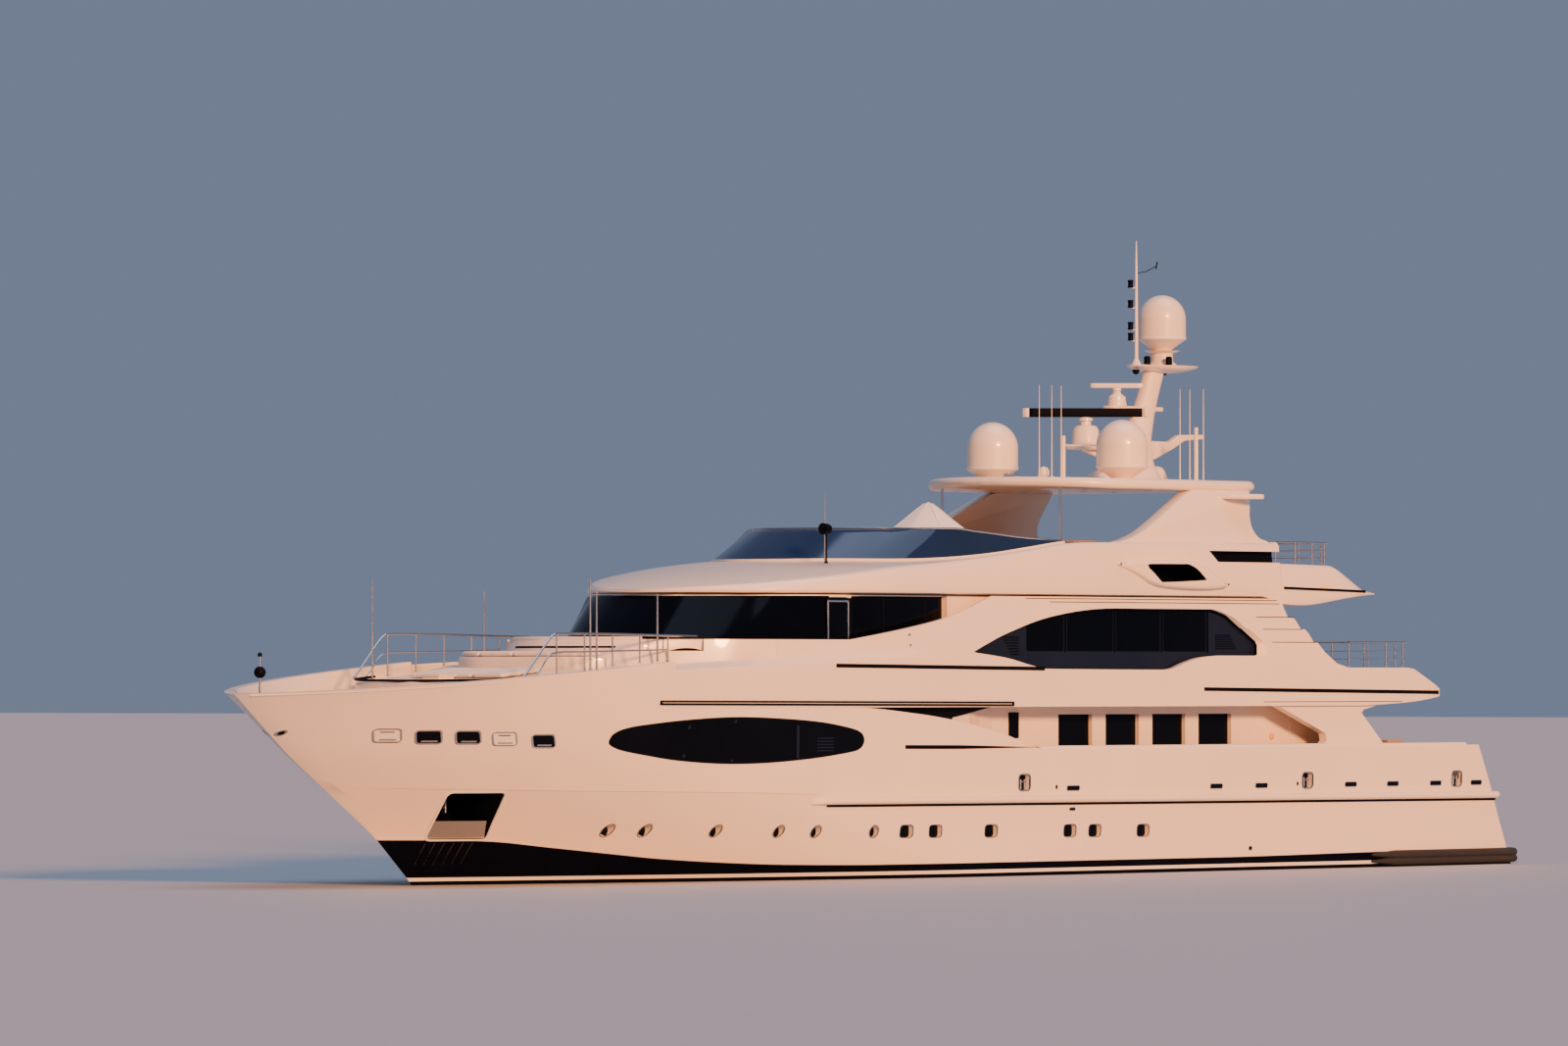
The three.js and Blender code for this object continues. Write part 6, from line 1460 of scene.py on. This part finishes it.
def build_furniture():
    """Oval tables on turned legs, bases for the pads, a bar with stools, and teak tops."""
    main, upper, sun = MAIN_DECK + 0.003, UPPER_FLOOR + 0.003, SUNDECK_FLOOR + 0.003
    tables = ((-20.3, 0, main, [0.55, 1.1], 0.72), (-17.6, 0, upper, [0.95, 1.6], 0.74),
              (-11.3, 1.9, sun, [0.5, 0.5], 0.7), (-11.3, -1.9, sun, [0.5, 0.5], 0.7))
    tops = [slab(oval([x, y], size, 3, 40), z + tall - 0.05, z + tall, 0.02)
            for x, y, z, size, tall in tables]
    legs = [turned([[0, 0], [0.3, 0], [0.28, 0.03], [0.08, 0.08], [0.06, tall - 0.1], [0.2, tall - 0.05],
                    [0, tall - 0.05]], (x, y, z), 20) for x, y, z, _, tall in tables]
    piece("table_tops", together(*tops), "teak", angle=50)
    piece("table_legs", together(*legs), "steel", angle=50)
    bases = [block([-22.3, -21.45], [-1.9, 1.9], [main, 2.8], 0.04),
             block([-19.85, -19.1], [-2.95, 2.95], [upper, 5.3], 0.04)]
    for y in LOUNGERS:
        bases.append(block([-16.05, -14.05], [y - 0.36, y + 0.36], [8.02, 8.1], 0.02))
        bases += [block([x - 0.04, x + 0.04], [y - 0.3, y + 0.3], [sun, 8.04], 0.015)
                  for x in (-15.85, -14.3)]
    bases.append(slab(rounded([[-9.0, -1.3], [-8.1, -1.3], [-8.1, 1.3], [-9.0, 1.3]], 0.3), sun, 8.86, 0.04))
    piece("furniture_bases", together(*bases), "paint", angle=50)
    bar_top = slab(rounded([[-9.12, -1.42], [-7.98, -1.42], [-7.98, 1.42], [-9.12, 1.42]], 0.36), 8.87, 8.92,
                   0.02)
    caps = both(block([-19.35, -18.6], [3.92, 4.22], [3.40, 3.5], 0.02))
    piece("teak_tops", together(bar_top, caps), "teak", angle=50)
    stools = [turned([[0, 0], [0.2, 0], [0.19, 0.02], [0.03, 0.05], [0.03, 0.62], [0.19, 0.66], [0.2, 0.72],
                      [0.15, 0.75], [0, 0.75]], (-7.5, y, sun), 20) for y in (-0.9, 0, 0.9)]
    piece("bar_stools", together(*stools), "steel", angle=50)


def foil(span, fore, aft, half_thick):
    """A fin: at each place along the span a teardrop section from its fore edge to its aft one, whose half
    thickness is that of a sine bent towards the fore edge, and whose tip is drawn in by a quarter
    circle."""
    angle = round_angles(30)
    share = (1 - np.cos(angle)) / 2
    section_half = np.sign(np.sin(angle)) * np.sqrt(share) * (1 - share) ** 1.1 * 2.2
    fade = np.sqrt(np.clip(1 - np.linspace(0, 1, len(span)) ** 8, 0, 1))
    return grid_of(fore[:, None] + (aft - fore)[:, None] * share, section_half * (half_thick * fade)[:, None],
                   span[:, None])


def propeller_blades():
    """Five blades: at each radius an oval section, pitched by the arc tangent of 0.36 over the radius."""
    radii = np.linspace(0.12, 0.79, 12)[:, None]
    share = (radii - 0.12) / 0.67
    tip = np.sqrt(np.clip(1 - share ** 6, 0.02, 1))
    chord = (0.15 + 0.17 * np.sin(np.pi * share ** 0.8) - 0.03 * share) * tip
    angle = round_angles(16)
    pitch = np.arctan(0.36 / np.maximum(radii, 0.3))
    u, v = chord * np.cos(angle), (0.035 - 0.025 * share) * np.sin(angle)
    blades = []
    for turn in np.arange(5) * 2 * np.pi / 5:
        swing = turn + u * np.cos(pitch) / radii.clip(0.25)
        grid = grid_of(u * np.sin(pitch) + v * np.cos(pitch), radii * np.sin(swing), radii * np.cos(swing))
        blades.append(tube(grid))
    return blades


def build_running_gear():
    y, f = 1.75, np.linspace(0, 1, 14)
    blade = foil(np.linspace(-0.96, -2.5, 14), 0.45 - 0.09 * f, -0.75 + 0.13 * f,
                 0.1 - 0.03 * f) + [-20.6, y, 0]
    stock = pin(-20.6, y, (-1.0, -0.72), 0.09, 16)
    twins("rudder", together(tube(blade), stock), "boot", moves=True)
    fin = foil(np.linspace(0.15, 1.25, 14), 0.5 - 0.2 * f, -0.75 + 0.15 * f, 0.09 - 0.04 * f)[..., [0, 2, 1]]
    stub = rod([[0, 0.03, 0], [0, 0.3, 0]], 0.08, 14)
    fin = spun(together(tube(fin), stub), -math.radians(35), axis=0)
    twins("stabiliser", moved(fin, (1.0, 3.58, -1.62)), "boot", moves=True)
    hub = turned([[0, 0.21], [0.1, 0.2], [0.12, 0.17], [0.19, -0.12], [0.18, -0.19], [0, -0.21]], (0, 0, 0),
                 28, axis=0)
    propeller = moved(together(hub, *propeller_blades()), (-18.6, y, -1.84))
    twins("propeller", propeller, "bronze", moves=True, angle=50)


def build_stern():
    """The rubber round the swim platform: a rounded bar along the hull's sides and the platform's aft
    edge."""
    xs = np.linspace(-17.7, -24.0, 30)
    corner = bent([[-24.3, 4.2], [-24.7, 4.15], [-24.93, 4.0], [-25.03, 3.6], [-25.04, 3.0]], 5)
    line = twinned(np.concatenate([grid_of(xs, half_breadth(xs, 0.26) + 0.02), corner]))
    last = len(line) - 1
    taper = np.interp(np.arange(len(line)), [0, 5, last - 5, last], [0.03, 0.115, 0.115, 0.03])
    bars = [rod(grid_of(*line.T, z), taper, 12) for z in (0.16, 0.34)]
    piece("platform_fender_form", together(*bars), "rubber", ["platform_fender"], angle=60)
    side_view = ((-24.75, 0.62), (-24.6, 1.4), (-22.6, 3.2), (-22.2, 3.3))
    lines = [rod([[x, y, z] for x, z in side_view], 0.022, 8, across=(0, 1, 0)) for y in (2.75, 3.55)]
    piece("stern_handrails", both(*lines), "steel", angle=60)


# Floor, camera and light
PHOTO_WIDTH = 1600
FOCAL = 10750
HORIZON = 156.5
FILM = 36


def aimed(made, towards):
    """The object turned so that its view, or its light, goes that way."""
    made.rotation_mode = "QUATERNION"
    made.rotation_quaternion = Vector(towards).to_track_quat("-Z", "Y")
    return made


def build_stage():
    """A pale floor at the waterline, a camera at the photograph's angle, a low warm key and cool fill."""
    corner = 450
    mesh = bpy.data.meshes.new("floor")
    mesh.from_pydata([(-corner, -corner, 0), (corner, -corner, 0), (corner, corner, 0), (-corner, corner, 0)],
                     [], [(0, 1, 2, 3)])
    mesh.materials.append(finish_of("floor", (0.42, 0.43, 0.45), 0.6, size=0.3, shift=0.03))
    floor = placed("floor", mesh)
    lens = bpy.data.cameras.new("camera")
    lens.sensor_width = FILM
    lens.lens = FILM * FOCAL / PHOTO_WIDTH
    lens.clip_start, lens.clip_end = 1, 2000
    pitch = math.atan(HORIZON / FOCAL)
    camera = aimed(placed("camera", lens), (-0.7826 * math.cos(pitch), -0.6225 * math.cos(pitch),
                                            math.sin(pitch)))
    camera.location = (109.68, 86.09, 2.625)
    bpy.context.scene.camera = camera
    for name, towards, power, spread, colour in (("key", (-0.40, -0.87, -0.28), 7.2, 8, (1, 0.42, 0.15)),
                                                 ("soft_top", (0.1, -0.1, -1), 1.5, 50, (0.6, 0.74, 1))):
        light = bpy.data.lights.new(name, "SUN")
        light.energy = power
        light.angle = math.radians(spread)
        light.color = colour
        aimed(placed(name, light), towards)
    world = bpy.data.worlds.new("studio")
    bpy.context.scene.world = world
    world.use_nodes = True
    sky = world.node_tree.nodes["Background"].inputs
    sky["Color"].default_value = (0.56, 0.68, 1, 1)
    sky["Strength"].default_value = 0.3


for build in (build_upper_deck, build_bridge_bulwark, build_bridge_glazing, build_sundeck, build_windscreen,
              build_arch, build_domes, build_mast, build_scanners, build_hull, build_side_openings,
              build_anchor_pockets, build_side_lines, build_caps, build_arch_windows, build_side_decks,
              build_rails, build_hardtop_gear, build_aerial_mast, build_trunk, build_foredeck,
              build_searchlight, build_spa, build_cushions, build_furniture, build_running_gear, build_stern,
              build_stage):
    build()
for work_shade in WORK_SHADES:
    bpy.data.materials.remove(work_shade)
bpy.context.view_layer.update()
